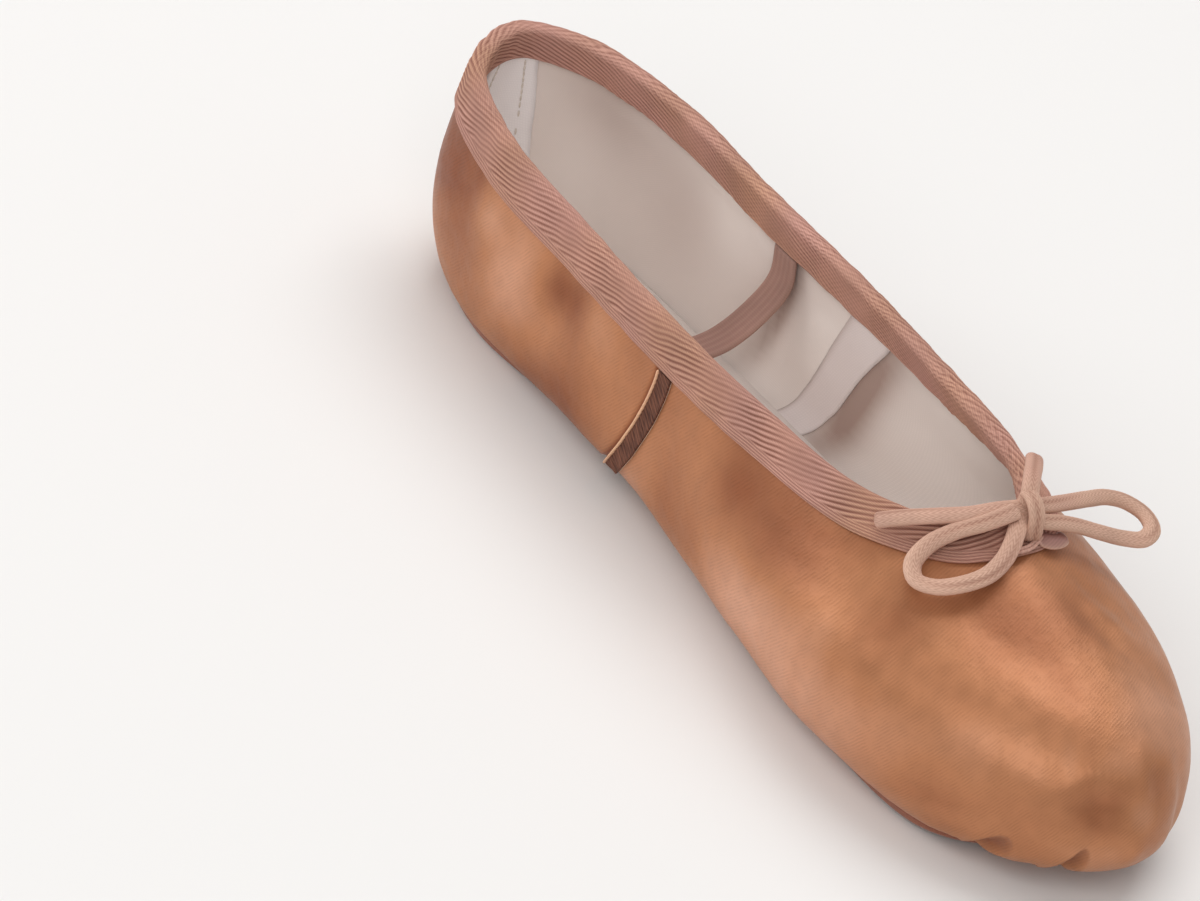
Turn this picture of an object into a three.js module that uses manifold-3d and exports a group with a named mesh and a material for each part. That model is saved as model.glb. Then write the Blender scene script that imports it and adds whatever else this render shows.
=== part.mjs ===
// A soft satin ballet slipper standing on its sole.
// +X points to the toe, +Y to the shoe's left side, +Z up. The origin is on the floor, half way along.
import * as THREE from 'three';
import { mergeVertices } from 'three/addons/utils/BufferGeometryUtils.js';
import Module from 'manifold-3d';

// The last
const SHOE_LENGTH = 225;
const BALL_WIDTH = 68;
const HEEL_HEIGHT = 49.5;
const SIDE_HEIGHT = 44.5;
const INSTEP_HEIGHT = 47.7;
const WIDEST_HEIGHT = 14;
const HEEL_BULGE_HEIGHT = 28.7;
const TOE_HEIGHT = 15.9;
const COLLAR_LENGTH = 166;
const COLLAR_WIDTH = 47.4;
const COLLAR_SET_IN = 1.4;
const VAMP_SWEEP = 15;
const VAMP_FROM = 6;
const VAMP_RUN = 30;

// The sole and the sock inside
const SOLE_LENGTH = 195;
const SOLE_WIDTH = 51;
const SOLE_SET_IN = 11.5;
const SOLE_THICKNESS = 2;
const SOLE_EDGE_ROUND = 0.4;
const ARCH_RISE = 1.2;
const TOE_SPRING = 2;
const SOCK_THICKNESS = 1.2;

// Cloth
const UPPER_WALL = 1.6;
const SEAT_GAP = 0.3;
const MARGIN_WIDTH = 7;
const GATHER_DEPTH = 3.2;
const GATHER_THINNING = 0.85;

// Trim
const BINDING_WIDTH = 9.6;
const BINDING_INNER_WIDTH = 7.4;
const BINDING_THICKNESS = 0.8;
const CASING_ROUND = 1.2;
const SEAM_STRIP_WIDTH = 4;
const SEAM_STRIP_THICKNESS = 0.5;
const SEAM_STRIP_GAP = 0.45;
const STRAP_WIDTH = 7;
const STRAP_THICKNESS = 1.2;
const STRAP_LOW_POINT = 16.5;
const STRAP_TUCK = 0.4;
const STRAP_SWAY = 1.2;
const CORD_DIAMETER = 3.2;

// Sections of the last, from the heel's centre line round one side to the toe's centre line.
// at, rimAt, soleAt: places along the shoe, as shares of its length, the collar's and the sole's.
// wide, rim, sole: half widths, as shares of half the ball's, the collar's and the sole's width.
// bulge: height of the widest line, from 0 at WIDEST_HEIGHT to 1 at HEEL_BULGE_HEIGHT.
// back and front: how much of the heel's and the instep's rise the collar has. turn: how squarely
// the upper turns up from the sole. sock: how far up the wall the sock reaches.
const SECTIONS = [
  { at: 0.000, wide: 0.000, bulge: 1.00, rimAt: 0.000, rim: 0.00, back: 1.0, front: 0.00,
    soleAt: 0.000, sole: 0.00, turn: 0.55, sock: 0.10 },
  { at: 0.038, wide: 0.503, bulge: 0.75, rimAt: 0.046, rim: 0.60, back: 0.6, front: 0.00,
    soleAt: 0.028, sole: 0.51, turn: 0.55, sock: 0.10 },
  { at: 0.144, wide: 0.718, bulge: 0.50, rimAt: 0.183, rim: 0.92, back: 0.3, front: 0.00,
    soleAt: 0.118, sole: 0.74, turn: 0.57, sock: 0.12 },
  { at: 0.300, wide: 0.744, bulge: 0.24, rimAt: 0.366, rim: 0.96, back: 0.1, front: 0.00,
    soleAt: 0.282, sole: 0.60, turn: 0.66, sock: 0.15 },
  { at: 0.456, wide: 0.765, bulge: 0.00, rimAt: 0.549, rim: 1.00, back: 0.0, front: 0.00,
    soleAt: 0.446, sole: 0.53, turn: 0.72, sock: 0.15 },
  { at: 0.611, wide: 0.900, bulge: 0.00, rimAt: 0.719, rim: 0.93, back: 0.0, front: 0.03,
    soleAt: 0.646, sole: 0.86, turn: 0.62, sock: 0.10 },
  { at: 0.776, wide: 1.000, bulge: 0.04, rimAt: 0.889, rim: 0.77, back: 0.0, front: 0.19,
    soleAt: 0.826, sole: 1.00, turn: 0.56, sock: 0.06 },
  { at: 0.922, wide: 0.712, bulge: 0.08, rimAt: 0.974, rim: 0.43, back: 0.0, front: 0.50,
    soleAt: 0.944, sole: 0.92, turn: 0.55, sock: -0.10 },
  { at: 0.977, wide: 0.400, bulge: 0.11, rimAt: 0.993, rim: 0.22, back: 0.0, front: 0.80,
    soleAt: 0.987, sole: 0.60, turn: 0.55, sock: -0.12 },
  { at: 1.000, wide: 0.000, bulge: 0.13, rimAt: 1.000, rim: 0.00, back: 0.0, front: 1.00,
    soleAt: 1.000, sole: 0.00, turn: 0.55, sock: -0.12 },
];

// Pockets of the toe gathers under the vamp. at: place across the front, from -1 at the right corner
// of the sole to 1 at the left. wide: half width on that scale. deep: share of GATHER_DEPTH.
// reach: how far up the wall, where the widest line is at 0.4.
const GATHERS = [
  { at: -0.88, wide: 0.10, deep: 0.45, reach: 0.20 },
  { at: -0.66, wide: 0.12, deep: 0.80, reach: 0.29 },
  { at: -0.40, wide: 0.14, deep: 0.95, reach: 0.36 },
  { at: -0.12, wide: 0.15, deep: 1.00, reach: 0.42 },
  { at: 0.16, wide: 0.14, deep: 0.90, reach: 0.38 },
  { at: 0.42, wide: 0.13, deep: 1.00, reach: 0.34 },
  { at: 0.66, wide: 0.12, deep: 0.75, reach: 0.28 },
  { at: 0.88, wide: 0.10, deep: 0.50, reach: 0.20 },
];

// The bow's routes, each from the knot outwards
const LOOP_LEFT = [
  [58.9, -3.0, 50.0], [58.2, -6.6, 49.2], [56.8, -11.4, 47.4], [56.3, -16.2, 45.0], [57.3, -19.6, 42.2],
  [60.2, -20.6, 40.9], [63.6, -18.4, 41.3], [66.0, -13.8, 42.8], [66.7, -8.8, 44.4], [65.6, -4.4, 46.2],
  [63.6, -1.4, 48.4],
];
const LOOP_RIGHT = [
  [57.2, 5.6, 50.0], [55.7, 11.6, 48.8], [53.4, 18.6, 46.2], [51.4, 25.4, 43.4], [50.8, 30.6, 42.0],
  [52.6, 34.4, 41.2], [56.4, 36.2, 40.7], [60.6, 35.0, 40.4], [62.4, 31.6, 40.2], [61.8, 27.0, 41.0],
  [60.8, 21.6, 42.8], [60.4, 16.0, 45.2], [60.7, 10.6, 47.4], [61.0, 5.4, 49.0],
];
const END_LEFT = [
  [55.4, -2.4, 51.6], [54.4, -7.0, 51.0], [51.6, -12.0, 49.6], [48.4, -16.8, 47.7], [45.4, -21.4, 45.4],
];
const END_RIGHT = [
  [56.0, 4.0, 53.5], [52.8, 8.2, 52.8], [49.4, 12.2, 51.6], [46.4, 15.2, 50.6], [43.8, 17.4, 50.0],
];
const KNOT_CENTRE = [58.2, 1.5, 51.1];
const KNOT_RADIUS = 2.7;

// Places on the last, in sections counted from the heel
const TOE_CORNER = 7;
const TOE = SECTIONS.length - 1;
const SEAM_TOP = 4.05;
const SEAM_FOOT = 3.48;
const STRAP_AT = 3.25;

// Places along the sole, as shares of its length
const ARCH_FROM = 0.2;
const ARCH_TO = 0.58;
const ARCH_EASE = 0.17;
const SPRING_FROM = 0.82;
const SPRING_EASE = 0.3;

// Shares that shape the wall
const WIDEST = 0.4;
const WALL_LEAVE = 0.4;
const WALL_ARRIVE = 0.35;
const VAMP_PULL = 0.25;
const GATHER_RISE = 0.35;
const GATHER_FALL = 0.45;

// Steps of the solids, and how close two corners have to be to be one
const SIDE_STEPS = 30;
const TOE_STEPS = 28;
const STRIP_STEPS = 10;
const STRAP_STEPS = 28;
const CORD_SIDES = 8;
const SAME_CORNER = 1e-4;

const HALF_LENGTH = SHOE_LENGTH / 2;
const SOLE_BACK = -HALF_LENGTH + SOLE_SET_IN;
const COLLAR_BACK = -HALF_LENGTH + COLLAR_SET_IN;
const UP = new THREE.Vector3(0, 0, 1);
const DOWN = new THREE.Vector3(0, 0, -1);

const lerp = THREE.MathUtils.lerp;
const clamp = THREE.MathUtils.clamp;

function smooth(value) {
  const share = clamp(value, 0, 1);
  return share * share * (3 - 2 * share);
}

// How far the sole is lifted off the floor: flat at the heel and the forefoot, raised between
// them and at the toe.
function lift(x) {
  const along = (x - SOLE_BACK) / SOLE_LENGTH;
  const arch = smooth((along - ARCH_FROM) / ARCH_EASE) * smooth((ARCH_TO - along) / ARCH_EASE);
  const spring = smooth((along - SPRING_FROM) / SPRING_EASE) / smooth((1 - SPRING_FROM) / SPRING_EASE);
  return ARCH_RISE * arch + TOE_SPRING * spring;
}

function closedCurve(place) {
  const side = SECTIONS.map(place);
  const other = side.slice(1, -1).reverse().map((point) => new THREE.Vector3(point.x, -point.y, point.z));
  return new THREE.CatmullRomCurve3([...side, ...other], true);
}

const widestCurve = closedCurve((row) => new THREE.Vector3(
  lerp(-HALF_LENGTH, HALF_LENGTH, row.at),
  row.wide * BALL_WIDTH / 2,
  row.at < 0.5
    ? lerp(WIDEST_HEIGHT, HEEL_BULGE_HEIGHT, row.bulge)
    : lerp(WIDEST_HEIGHT, TOE_HEIGHT, row.bulge / SECTIONS[TOE].bulge),
));

const rimCurve = closedCurve((row) => new THREE.Vector3(
  COLLAR_BACK + row.rimAt * COLLAR_LENGTH,
  row.rim * COLLAR_WIDTH / 2,
  SIDE_HEIGHT + row.back * (HEEL_HEIGHT - SIDE_HEIGHT) + row.front * (INSTEP_HEIGHT - SIDE_HEIGHT),
));

const soleCurve = closedCurve((row) => new THREE.Vector3(
  SOLE_BACK + row.soleAt * SOLE_LENGTH,
  row.sole * SOLE_WIDTH / 2,
  0,
));

function onCurve(curve, t) {
  return curve.getPoint(THREE.MathUtils.euclideanModulo(t / (2 * TOE), 1));
}

// A column of the table read between its rows, the same on both sides of the shoe.
function column(name, t) {
  const wrapped = THREE.MathUtils.euclideanModulo(t, 2 * TOE);
  const place = wrapped > TOE ? 2 * TOE - wrapped : wrapped;
  const row = Math.min(Math.floor(place), TOE - 1);
  return lerp(SECTIONS[row][name], SECTIONS[row + 1][name], smooth(place - row));
}

function bezier(a, b, c, d, s) {
  const r = 1 - s;
  return new THREE.Vector3()
    .addScaledVector(a, r * r * r)
    .addScaledVector(b, 3 * r * r * s)
    .addScaledVector(c, 3 * r * s * s)
    .addScaledVector(d, s * s * s);
}

// The edge of the sole at a section, on the floor, and the way out from it.
function soleEdge(t) {
  const edge = onCurve(soleCurve, t);
  const out = onCurve(widestCurve, t).sub(edge).setZ(0).normalize();
  return { edge, out };
}

// The outer face of the upper. t goes round the shoe in sections; q goes up the wall, from -1 at the
// inner edge of the margin that lies on the sole, 0 at the sole's edge and 0.4 at the widest line
// to 1 at the collar.
function faceOfLast(t, q) {
  const { edge, out } = soleEdge(t);
  if (q <= 0) {
    const point = edge.addScaledVector(out, q * MARGIN_WIDTH);
    return point.setZ(SOLE_THICKNESS + SEAT_GAP + lift(point.x));
  }
  const foot = edge.clone().setZ(SOLE_THICKNESS + SEAT_GAP + lift(edge.x));
  const side = onCurve(widestCurve, t);
  const rim = onCurve(rimCurve, t);
  if (q <= WIDEST) {
    const turn = column('turn', t);
    const reach = Math.hypot(side.x - foot.x, side.y - foot.y) * turn;
    const climb = (side.z - foot.z) * turn;
    return bezier(foot, foot.clone().addScaledVector(out, reach),
      side.clone().addScaledVector(UP, -climb), side, q / WIDEST);
  }
  const inward = rim.clone().sub(side).setZ(0);
  const run = inward.length();
  inward.divideScalar(Math.max(run, 1e-6));
  const vamp = clamp((run - VAMP_FROM) / VAMP_RUN, 0, 1);
  const height = rim.z - side.z;
  const leave = side.clone().addScaledVector(UP, height * (WALL_LEAVE + VAMP_PULL * vamp));
  const arrive = rim.clone()
    .addScaledVector(inward, -run * (WALL_ARRIVE + VAMP_PULL * vamp))
    .addScaledVector(UP, -height * WALL_ARRIVE * (1 - vamp) - VAMP_SWEEP * vamp);
  return bezier(side, leave, arrive, rim, (q - WIDEST) / (1 - WIDEST));
}

function normalOfLast(t, q) {
  if (q <= 0) return DOWN.clone();
  const step = 0.004;
  const low = Math.max(q - step, 0);
  const high = Math.min(q + step, 1);
  const up = faceOfLast(t, high).sub(faceOfLast(t, low));
  const along = faceOfLast(t + step, q).sub(faceOfLast(t - step, q));
  return up.cross(along).normalize();
}

// A point of the last, raised off its outer face by a height along the normal.
function onLast(t, q, height) {
  return faceOfLast(t, q).addScaledVector(normalOfLast(t, q), height);
}

// How deep the satin is drawn in at the toe gathers.
function gather(t, q) {
  const across = (t - TOE) / (TOE - TOE_CORNER);
  let depth = 0;
  for (const fold of GATHERS) {
    const sideways = Math.abs(across - fold.at) / fold.wide;
    const upward = q / fold.reach;
    if (sideways < 1 && upward > 0 && upward < 1) {
      const pocket = Math.cos(sideways * Math.PI / 2) ** 2;
      const along = smooth(upward / GATHER_RISE) * smooth((1 - upward) / GATHER_FALL);
      depth += GATHER_DEPTH * fold.deep * pocket * along;
    }
  }
  return depth;
}

// The value of q at a distance down the wall from the collar's rim, for each of a list of distances.
function downFromRim(t, distances) {
  const samples = 60;
  let last = faceOfLast(t, 1);
  let travelled = 0;
  const found = [];
  for (let i = 1; i <= samples && found.length < distances.length; i += 1) {
    const q = lerp(1, WIDEST, i / samples);
    const point = faceOfLast(t, q);
    const step = point.distanceTo(last);
    while (found.length < distances.length && travelled + step >= distances[found.length]) {
      const share = (distances[found.length] - travelled) / step;
      found.push(lerp(lerp(1, WIDEST, (i - 1) / samples), q, share));
    }
    travelled += step;
    last = point;
  }
  return found;
}

function stationList(toeSteps) {
  const half = [];
  for (let i = 0; i < SIDE_STEPS; i += 1) half.push(TOE_CORNER * i / SIDE_STEPS);
  for (let i = 0; i < toeSteps; i += 1) half.push(TOE_CORNER + (TOE - TOE_CORNER) * i / toeSteps);
  const other = half.slice(1).reverse().map((t) => 2 * TOE - t);
  return [...half, TOE, ...other];
}

const FINE_STATIONS = stationList(TOE_STEPS);
const PLAIN_STATIONS = stationList(TOE_STEPS / 4);

// Solids

class Shell {
  constructor() {
    this.positions = [];
    this.faces = [];
  }

  add(point) {
    this.positions.push(point.x, point.y, point.z);
    return this.positions.length / 3 - 1;
  }

  quad(a, b, c, d) {
    this.faces.push(a, b, c, a, c, d);
  }

  geometry() {
    const shape = new THREE.BufferGeometry();
    shape.setAttribute('position', new THREE.Float32BufferAttribute(this.positions, 3));
    shape.setIndex(this.faces);
    const merged = mergeVertices(shape, SAME_CORNER);
    return withoutSlivers(merged);
  }
}

// Faces that lost an edge when their corners were merged are left out.
function withoutSlivers(shape) {
  const kept = [];
  const index = shape.getIndex().array;
  for (let i = 0; i < index.length; i += 3) {
    const [a, b, c] = [index[i], index[i + 1], index[i + 2]];
    if (a !== b && b !== c && c !== a) kept.push(a, b, c);
  }
  shape.setIndex(kept);
  shape.computeVertexNormals();
  return shape;
}

// A closed ring: one closed loop of points at each station, joined round the shoe.
function ring(loops) {
  const shell = new Shell();
  const ids = loops.map((loop) => loop.map((point) => shell.add(point)));
  for (let i = 0; i < ids.length; i += 1) {
    const here = ids[i];
    const next = ids[(i + 1) % ids.length];
    for (let j = 0; j < here.length; j += 1) {
      const k = (j + 1) % here.length;
      shell.quad(here[j], here[k], next[k], next[j]);
    }
  }
  return shell.geometry();
}

// A solid between a stack of outlines, closed by strips that run across the shoe.
function slab(outlines) {
  const shell = new Shell();
  const ids = outlines.map((outline) => outline.map((point) => shell.add(point)));
  const count = outlines[0].length;
  for (let level = 0; level + 1 < ids.length; level += 1) {
    for (let i = 0; i < count; i += 1) {
      const next = (i + 1) % count;
      shell.quad(ids[level][next], ids[level][i], ids[level + 1][i], ids[level + 1][next]);
    }
  }
  const bottom = ids[0];
  const top = ids[ids.length - 1];
  for (let i = 0; i < count / 2; i += 1) {
    const across = (count - i) % count;
    shell.quad(bottom[i], bottom[i + 1], bottom[count - i - 1], bottom[across]);
    shell.quad(top[across], top[count - i - 1], top[i + 1], top[i]);
  }
  return shell.geometry();
}

// A closed bar: one closed loop of points at each step, with a fan at each end.
function bar(loops) {
  const shell = new Shell();
  const ids = loops.map((loop) => loop.map((point) => shell.add(point)));
  const count = loops[0].length;
  for (let i = 0; i + 1 < ids.length; i += 1) {
    for (let j = 0; j < count; j += 1) {
      const k = (j + 1) % count;
      shell.quad(ids[i][j], ids[i][k], ids[i + 1][k], ids[i + 1][j]);
    }
  }
  for (let j = 0; j < count / 2 - 1; j += 1) {
    const first = ids[0];
    const last = ids[ids.length - 1];
    shell.quad(first[j], first[count - 1 - j], first[count - 2 - j], first[j + 1]);
    shell.quad(last[count - 1 - j], last[j], last[j + 1], last[count - 2 - j]);
  }
  return shell.geometry();
}

// Pieces

function upper() {
  const edgeDrop = CASING_ROUND + SEAT_GAP;
  const underBinding = BINDING_WIDTH + SEAT_GAP;
  const turn = [0.04, 0.09, 0.15, 0.22, 0.3, WIDEST];
  const innerTurn = [0.08, 0.16, 0.27, WIDEST];
  const wallShares = [0.13, 0.34, 0.64];
  const loops = FINE_STATIONS.map((t) => {
    const [edge, middle, below] = downFromRim(t, [edgeDrop, (edgeDrop + underBinding) / 2, underBinding]);
    const wall = wallShares.map((share) => lerp(WIDEST, below, share));
    const upward = [...wall, below, middle, edge];
    const outside = [-1, 0, ...turn, ...upward].map((q) => onLast(t, q, -gather(t, q)));
    const inside = [-1, 0, ...innerTurn, ...upward].map((q) => (
      onLast(t, q, -UPPER_WALL - GATHER_THINNING * gather(t, q))
    ));
    return [...outside, ...inside.reverse()];
  });
  return ring(loops);
}

function binding() {
  const outside = SEAT_GAP + BINDING_THICKNESS;
  const inside = -UPPER_WALL - SEAT_GAP - BINDING_THICKNESS;
  const middle = (outside + inside) / 2;
  const legMiddle = (CASING_ROUND + BINDING_WIDTH) / 2;
  const shoulder = CASING_ROUND * 0.3;
  const shoulderOut = 0.7;
  // down: distance from the rim; height: off the face of the last
  const section = [
    { down: BINDING_WIDTH, height: SEAT_GAP },
    { down: BINDING_WIDTH, height: outside },
    { down: legMiddle, height: outside },
    { down: CASING_ROUND, height: outside },
    { down: shoulder, height: lerp(middle, outside, shoulderOut) },
    { down: 0, height: middle },
    { down: shoulder, height: lerp(middle, inside, shoulderOut) },
    { down: CASING_ROUND, height: inside },
    { down: legMiddle, height: inside },
    { down: BINDING_INNER_WIDTH, height: inside },
    { down: BINDING_INNER_WIDTH, height: -UPPER_WALL - SEAT_GAP },
    { down: legMiddle, height: -UPPER_WALL - SEAT_GAP },
    { down: CASING_ROUND, height: -UPPER_WALL - SEAT_GAP },
    { down: CASING_ROUND, height: SEAT_GAP },
    { down: legMiddle, height: SEAT_GAP },
  ];
  const downs = [...new Set(section.map((corner) => corner.down))].sort((a, b) => a - b);
  const loops = PLAIN_STATIONS.map((t) => {
    const found = downFromRim(t, downs);
    return section.map((corner) => onLast(t, found[downs.indexOf(corner.down)], corner.height));
  });
  return ring(loops);
}

function outsole() {
  // up: height in the sole; inset: how far in from its edge
  const levels = [
    { up: 0, inset: SOLE_EDGE_ROUND },
    { up: SOLE_EDGE_ROUND, inset: 0 },
    { up: SOLE_THICKNESS - SOLE_EDGE_ROUND, inset: 0 },
    { up: SOLE_THICKNESS, inset: SOLE_EDGE_ROUND },
  ];
  return slab(levels.map((level) => PLAIN_STATIONS.map((t) => {
    const { edge, out } = soleEdge(t);
    const point = edge.addScaledVector(out, -level.inset);
    return point.setZ(level.up + lift(point.x));
  })));
}

function insole() {
  const under = -UPPER_WALL - SEAT_GAP;
  const inMargin = -0.9;
  const outline = (share, height) => PLAIN_STATIONS.map((t) => (
    onLast(t, lerp(inMargin, column('sock', t), share), height)
  ));
  const shares = [0, 0.5, 0.8, 1];
  const bottom = shares.map((share) => outline(share, under));
  const top = shares.map((share) => outline(share, under - SOCK_THICKNESS)).reverse();
  return slab([...bottom, ...top]);
}

function seamStrip(side) {
  const foot = 0.03;
  const step = 0.05;
  const across = [-1, -1 / 3, 1 / 3, 1];
  const loops = [];
  const [top] = downFromRim(SEAM_TOP, [BINDING_WIDTH + 2 * SEAT_GAP]);
  for (let i = 0; i <= STRIP_STEPS; i += 1) {
    const q = lerp(foot, top, i / STRIP_STEPS);
    const centre = lerp(SEAM_FOOT, SEAM_TOP, i / STRIP_STEPS);
    const spread = faceOfLast(centre + step, q).distanceTo(faceOfLast(centre - step, q)) / (2 * step);
    const reach = SEAM_STRIP_WIDTH / 2 / spread;
    const layer = (height) => across.map((share) => {
      const t = centre + share * reach;
      return onLast(side > 0 ? t : 2 * TOE - t, q, height);
    });
    const loop = [...layer(SEAM_STRIP_GAP), ...layer(SEAM_STRIP_GAP + SEAM_STRIP_THICKNESS).reverse()];
    loops.push(side > 0 ? loop : loop.reverse());
  }
  return bar(loops);
}

function elasticStrap() {
  const tuckedIn = 0.12;
  const [top] = downFromRim(STRAP_AT, [BINDING_INNER_WIDTH + SEAT_GAP]);
  const seat = -UPPER_WALL - SEAT_GAP - STRAP_THICKNESS / 2;
  const end = onLast(STRAP_AT, top, seat);
  const below = onLast(STRAP_AT, top - tuckedIn, seat - STRAP_TUCK);
  // sway: share of the way forwards; wide: share of the half width; sunk: share of the way down
  const slack = [
    { sway: 0.4, wide: 0.84, sunk: 0.62 },
    { sway: 0.8, wide: 0.48, sunk: 0.93 },
    { sway: 1, wide: 0, sunk: 1 },
  ];
  const down = slack.map(({ sway, wide, sunk }) => new THREE.Vector3(
    below.x + sway * STRAP_SWAY,
    below.y * wide,
    lerp(below.z, STRAP_LOW_POINT, sunk),
  ));
  const half = [end, below, ...down];
  const other = half.slice(0, -1).reverse().map((point) => new THREE.Vector3(point.x, -point.y, point.z));
  const route = new THREE.CatmullRomCurve3([...half, ...other]);
  const wide = new THREE.Vector3(1, 0, 0);
  const loops = [];
  for (let i = 0; i <= STRAP_STEPS; i += 1) {
    const point = route.getPoint(i / STRAP_STEPS);
    const face = route.getTangent(i / STRAP_STEPS).cross(wide).normalize();
    const corner = (x, f) => point.clone()
      .addScaledVector(wide, x * STRAP_WIDTH / 2)
      .addScaledVector(face, f * STRAP_THICKNESS / 2);
    loops.push([corner(-1, -1), corner(1, -1), corner(1, 1), corner(-1, 1)]);
  }
  return bar(loops);
}

function cord(points) {
  const route = new THREE.CatmullRomCurve3(points.map((point) => new THREE.Vector3(...point)));
  const outline = new THREE.Shape();
  for (let i = 0; i < CORD_SIDES; i += 1) {
    const angle = 2 * Math.PI * i / CORD_SIDES;
    const corner = [Math.cos(angle) * CORD_DIAMETER / 2, Math.sin(angle) * CORD_DIAMETER / 2];
    if (i === 0) outline.moveTo(...corner);
    else outline.lineTo(...corner);
  }
  const steps = Math.round(route.getLength() / CORD_DIAMETER);
  return positionsOnly(new THREE.ExtrudeGeometry(outline, { steps, extrudePath: route }));
}

function positionsOnly(shape) {
  shape.deleteAttribute('normal');
  shape.deleteAttribute('uv');
  return withoutSlivers(mergeVertices(shape, SAME_CORNER));
}

const wasm = await Module();
wasm.setup();

function solidOf(shape) {
  const plain = positionsOnly(shape);
  return new wasm.Manifold(new wasm.Mesh({
    numProp: 3,
    vertProperties: new Float32Array(plain.getAttribute('position').array),
    triVerts: new Uint32Array(plain.getIndex().array),
  }));
}

// The knot: a lump of cord with one turn wrapped round it.
function knot() {
  const squash = [0.9, 1.15, 0.95];
  const wrapRadius = KNOT_RADIUS * 0.62;
  const wrapThickness = CORD_DIAMETER * 0.46;
  const wrapTurn = -0.35;
  const core = new THREE.SphereGeometry(KNOT_RADIUS, 14, CORD_SIDES).scale(...squash);
  const wrap = new THREE.TorusGeometry(wrapRadius, wrapThickness, CORD_SIDES, 2 * CORD_SIDES)
    .rotateX(Math.PI / 2)
    .rotateZ(wrapTurn);
  const joined = solidOf(core).add(solidOf(wrap)).getMesh();
  const shape = new THREE.BufferGeometry();
  shape.setAttribute('position', new THREE.BufferAttribute(joined.vertProperties, 3));
  shape.setIndex(Array.from(joined.triVerts));
  shape.translate(...KNOT_CENTRE);
  return withoutSlivers(mergeVertices(shape, SAME_CORNER));
}

function mesh(name, geometry, colour, roughness) {
  const material = new THREE.MeshStandardMaterial({ color: colour, roughness, metalness: 0 });
  const piece = new THREE.Mesh(geometry, material);
  piece.name = name;
  return piece;
}

const slipper = new THREE.Group();
slipper.add(mesh('upper', upper(), 0xbe8460, 0.5));
slipper.add(mesh('outsole', outsole(), 0xa5694a, 0.9));
slipper.add(mesh('insole', insole(), 0xcdbdb0, 0.9));
slipper.add(mesh('binding', binding(), 0xb18374, 0.8));
slipper.add(mesh('seam_strip_left', seamStrip(1), 0x6e4636, 0.85));
slipper.add(mesh('seam_strip_right', seamStrip(-1), 0x6e4636, 0.85));
slipper.add(mesh('elastic_strap', elasticStrap(), 0x8f6a62, 0.8));
slipper.add(mesh('bow_knot', knot(), 0xc9a08f, 0.8));
slipper.add(mesh('cord_loop_left', cord(LOOP_LEFT), 0xc9a08f, 0.8));
slipper.add(mesh('cord_loop_right', cord(LOOP_RIGHT), 0xc9a08f, 0.8));
slipper.add(mesh('cord_end_left', cord(END_LEFT), 0xc9a08f, 0.8));
slipper.add(mesh('cord_end_right', cord(END_RIGHT), 0xc9a08f, 0.8));

export default slipper;
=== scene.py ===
"""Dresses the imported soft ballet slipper: satin, linings, tape, leather, cord, stage and camera."""

import math

import bmesh
import bpy
import numpy as np
from mathutils import Matrix, Vector


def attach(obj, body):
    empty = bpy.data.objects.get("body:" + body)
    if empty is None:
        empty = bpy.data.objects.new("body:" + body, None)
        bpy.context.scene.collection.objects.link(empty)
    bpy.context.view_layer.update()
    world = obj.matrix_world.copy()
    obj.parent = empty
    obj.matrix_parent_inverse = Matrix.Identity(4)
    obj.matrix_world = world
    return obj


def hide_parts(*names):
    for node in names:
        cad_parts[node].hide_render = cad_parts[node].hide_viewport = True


bl_info = {
    "name": "Soft Ballet Slipper",
    "version": (1, 0, 0),
    "blender": (4, 5, 0),
    "location": "View3D > Sidebar > Slipper",
    "description": "Satin, linings, tape, leather and a drawstring bow for a soft ballet slipper",
    "category": "Object",
}

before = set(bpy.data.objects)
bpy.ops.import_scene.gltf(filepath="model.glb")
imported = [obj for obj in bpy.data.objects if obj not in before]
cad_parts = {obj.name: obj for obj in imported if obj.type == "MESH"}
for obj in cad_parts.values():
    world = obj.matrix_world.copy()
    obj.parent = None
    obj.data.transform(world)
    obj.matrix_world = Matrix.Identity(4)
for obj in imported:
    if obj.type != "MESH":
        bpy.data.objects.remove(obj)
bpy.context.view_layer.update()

MM = 0.001

# Sections of the last, from the heel's centre line round one side to the toe's centre line.
# at, rim_at, sole_at: places along the shoe, as shares of its length, the collar's and the sole's.
# wide, rim, sole: half widths, as shares of half the ball's, the collar's and the sole's width.
# bulge: height of the widest line. back, front: the heel's and the instep's share of the rise.
# turn: how squarely the upper turns up from the sole. sock: how far up the wall the sock reaches.
COLUMNS = ("at", "wide", "bulge", "rim_at", "rim", "back", "front", "sole_at", "sole", "turn", "sock")
SECTIONS = (
    (0.000, 0.000, 1.00, 0.000, 0.00, 1.0, 0.00, 0.000, 0.00, 0.55, 0.10),
    (0.038, 0.503, 0.75, 0.046, 0.60, 0.6, 0.00, 0.028, 0.51, 0.55, 0.10),
    (0.144, 0.718, 0.50, 0.183, 0.92, 0.3, 0.00, 0.118, 0.74, 0.57, 0.12),
    (0.300, 0.744, 0.24, 0.366, 0.96, 0.1, 0.00, 0.282, 0.60, 0.66, 0.15),
    (0.456, 0.765, 0.00, 0.549, 1.00, 0.0, 0.00, 0.446, 0.53, 0.72, 0.15),
    (0.611, 0.900, 0.00, 0.719, 0.93, 0.0, 0.03, 0.646, 0.86, 0.62, 0.10),
    (0.776, 1.000, 0.04, 0.889, 0.77, 0.0, 0.19, 0.826, 1.00, 0.56, 0.06),
    (0.922, 0.712, 0.08, 0.974, 0.43, 0.0, 0.50, 0.944, 0.92, 0.55, -0.10),
    (0.977, 0.400, 0.11, 0.993, 0.22, 0.0, 0.80, 0.987, 0.60, 0.55, -0.12),
    (1.000, 0.000, 0.13, 1.000, 0.00, 0.0, 1.00, 1.000, 0.00, 0.55, -0.12),
)
TOE = len(SECTIONS) - 1
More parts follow.
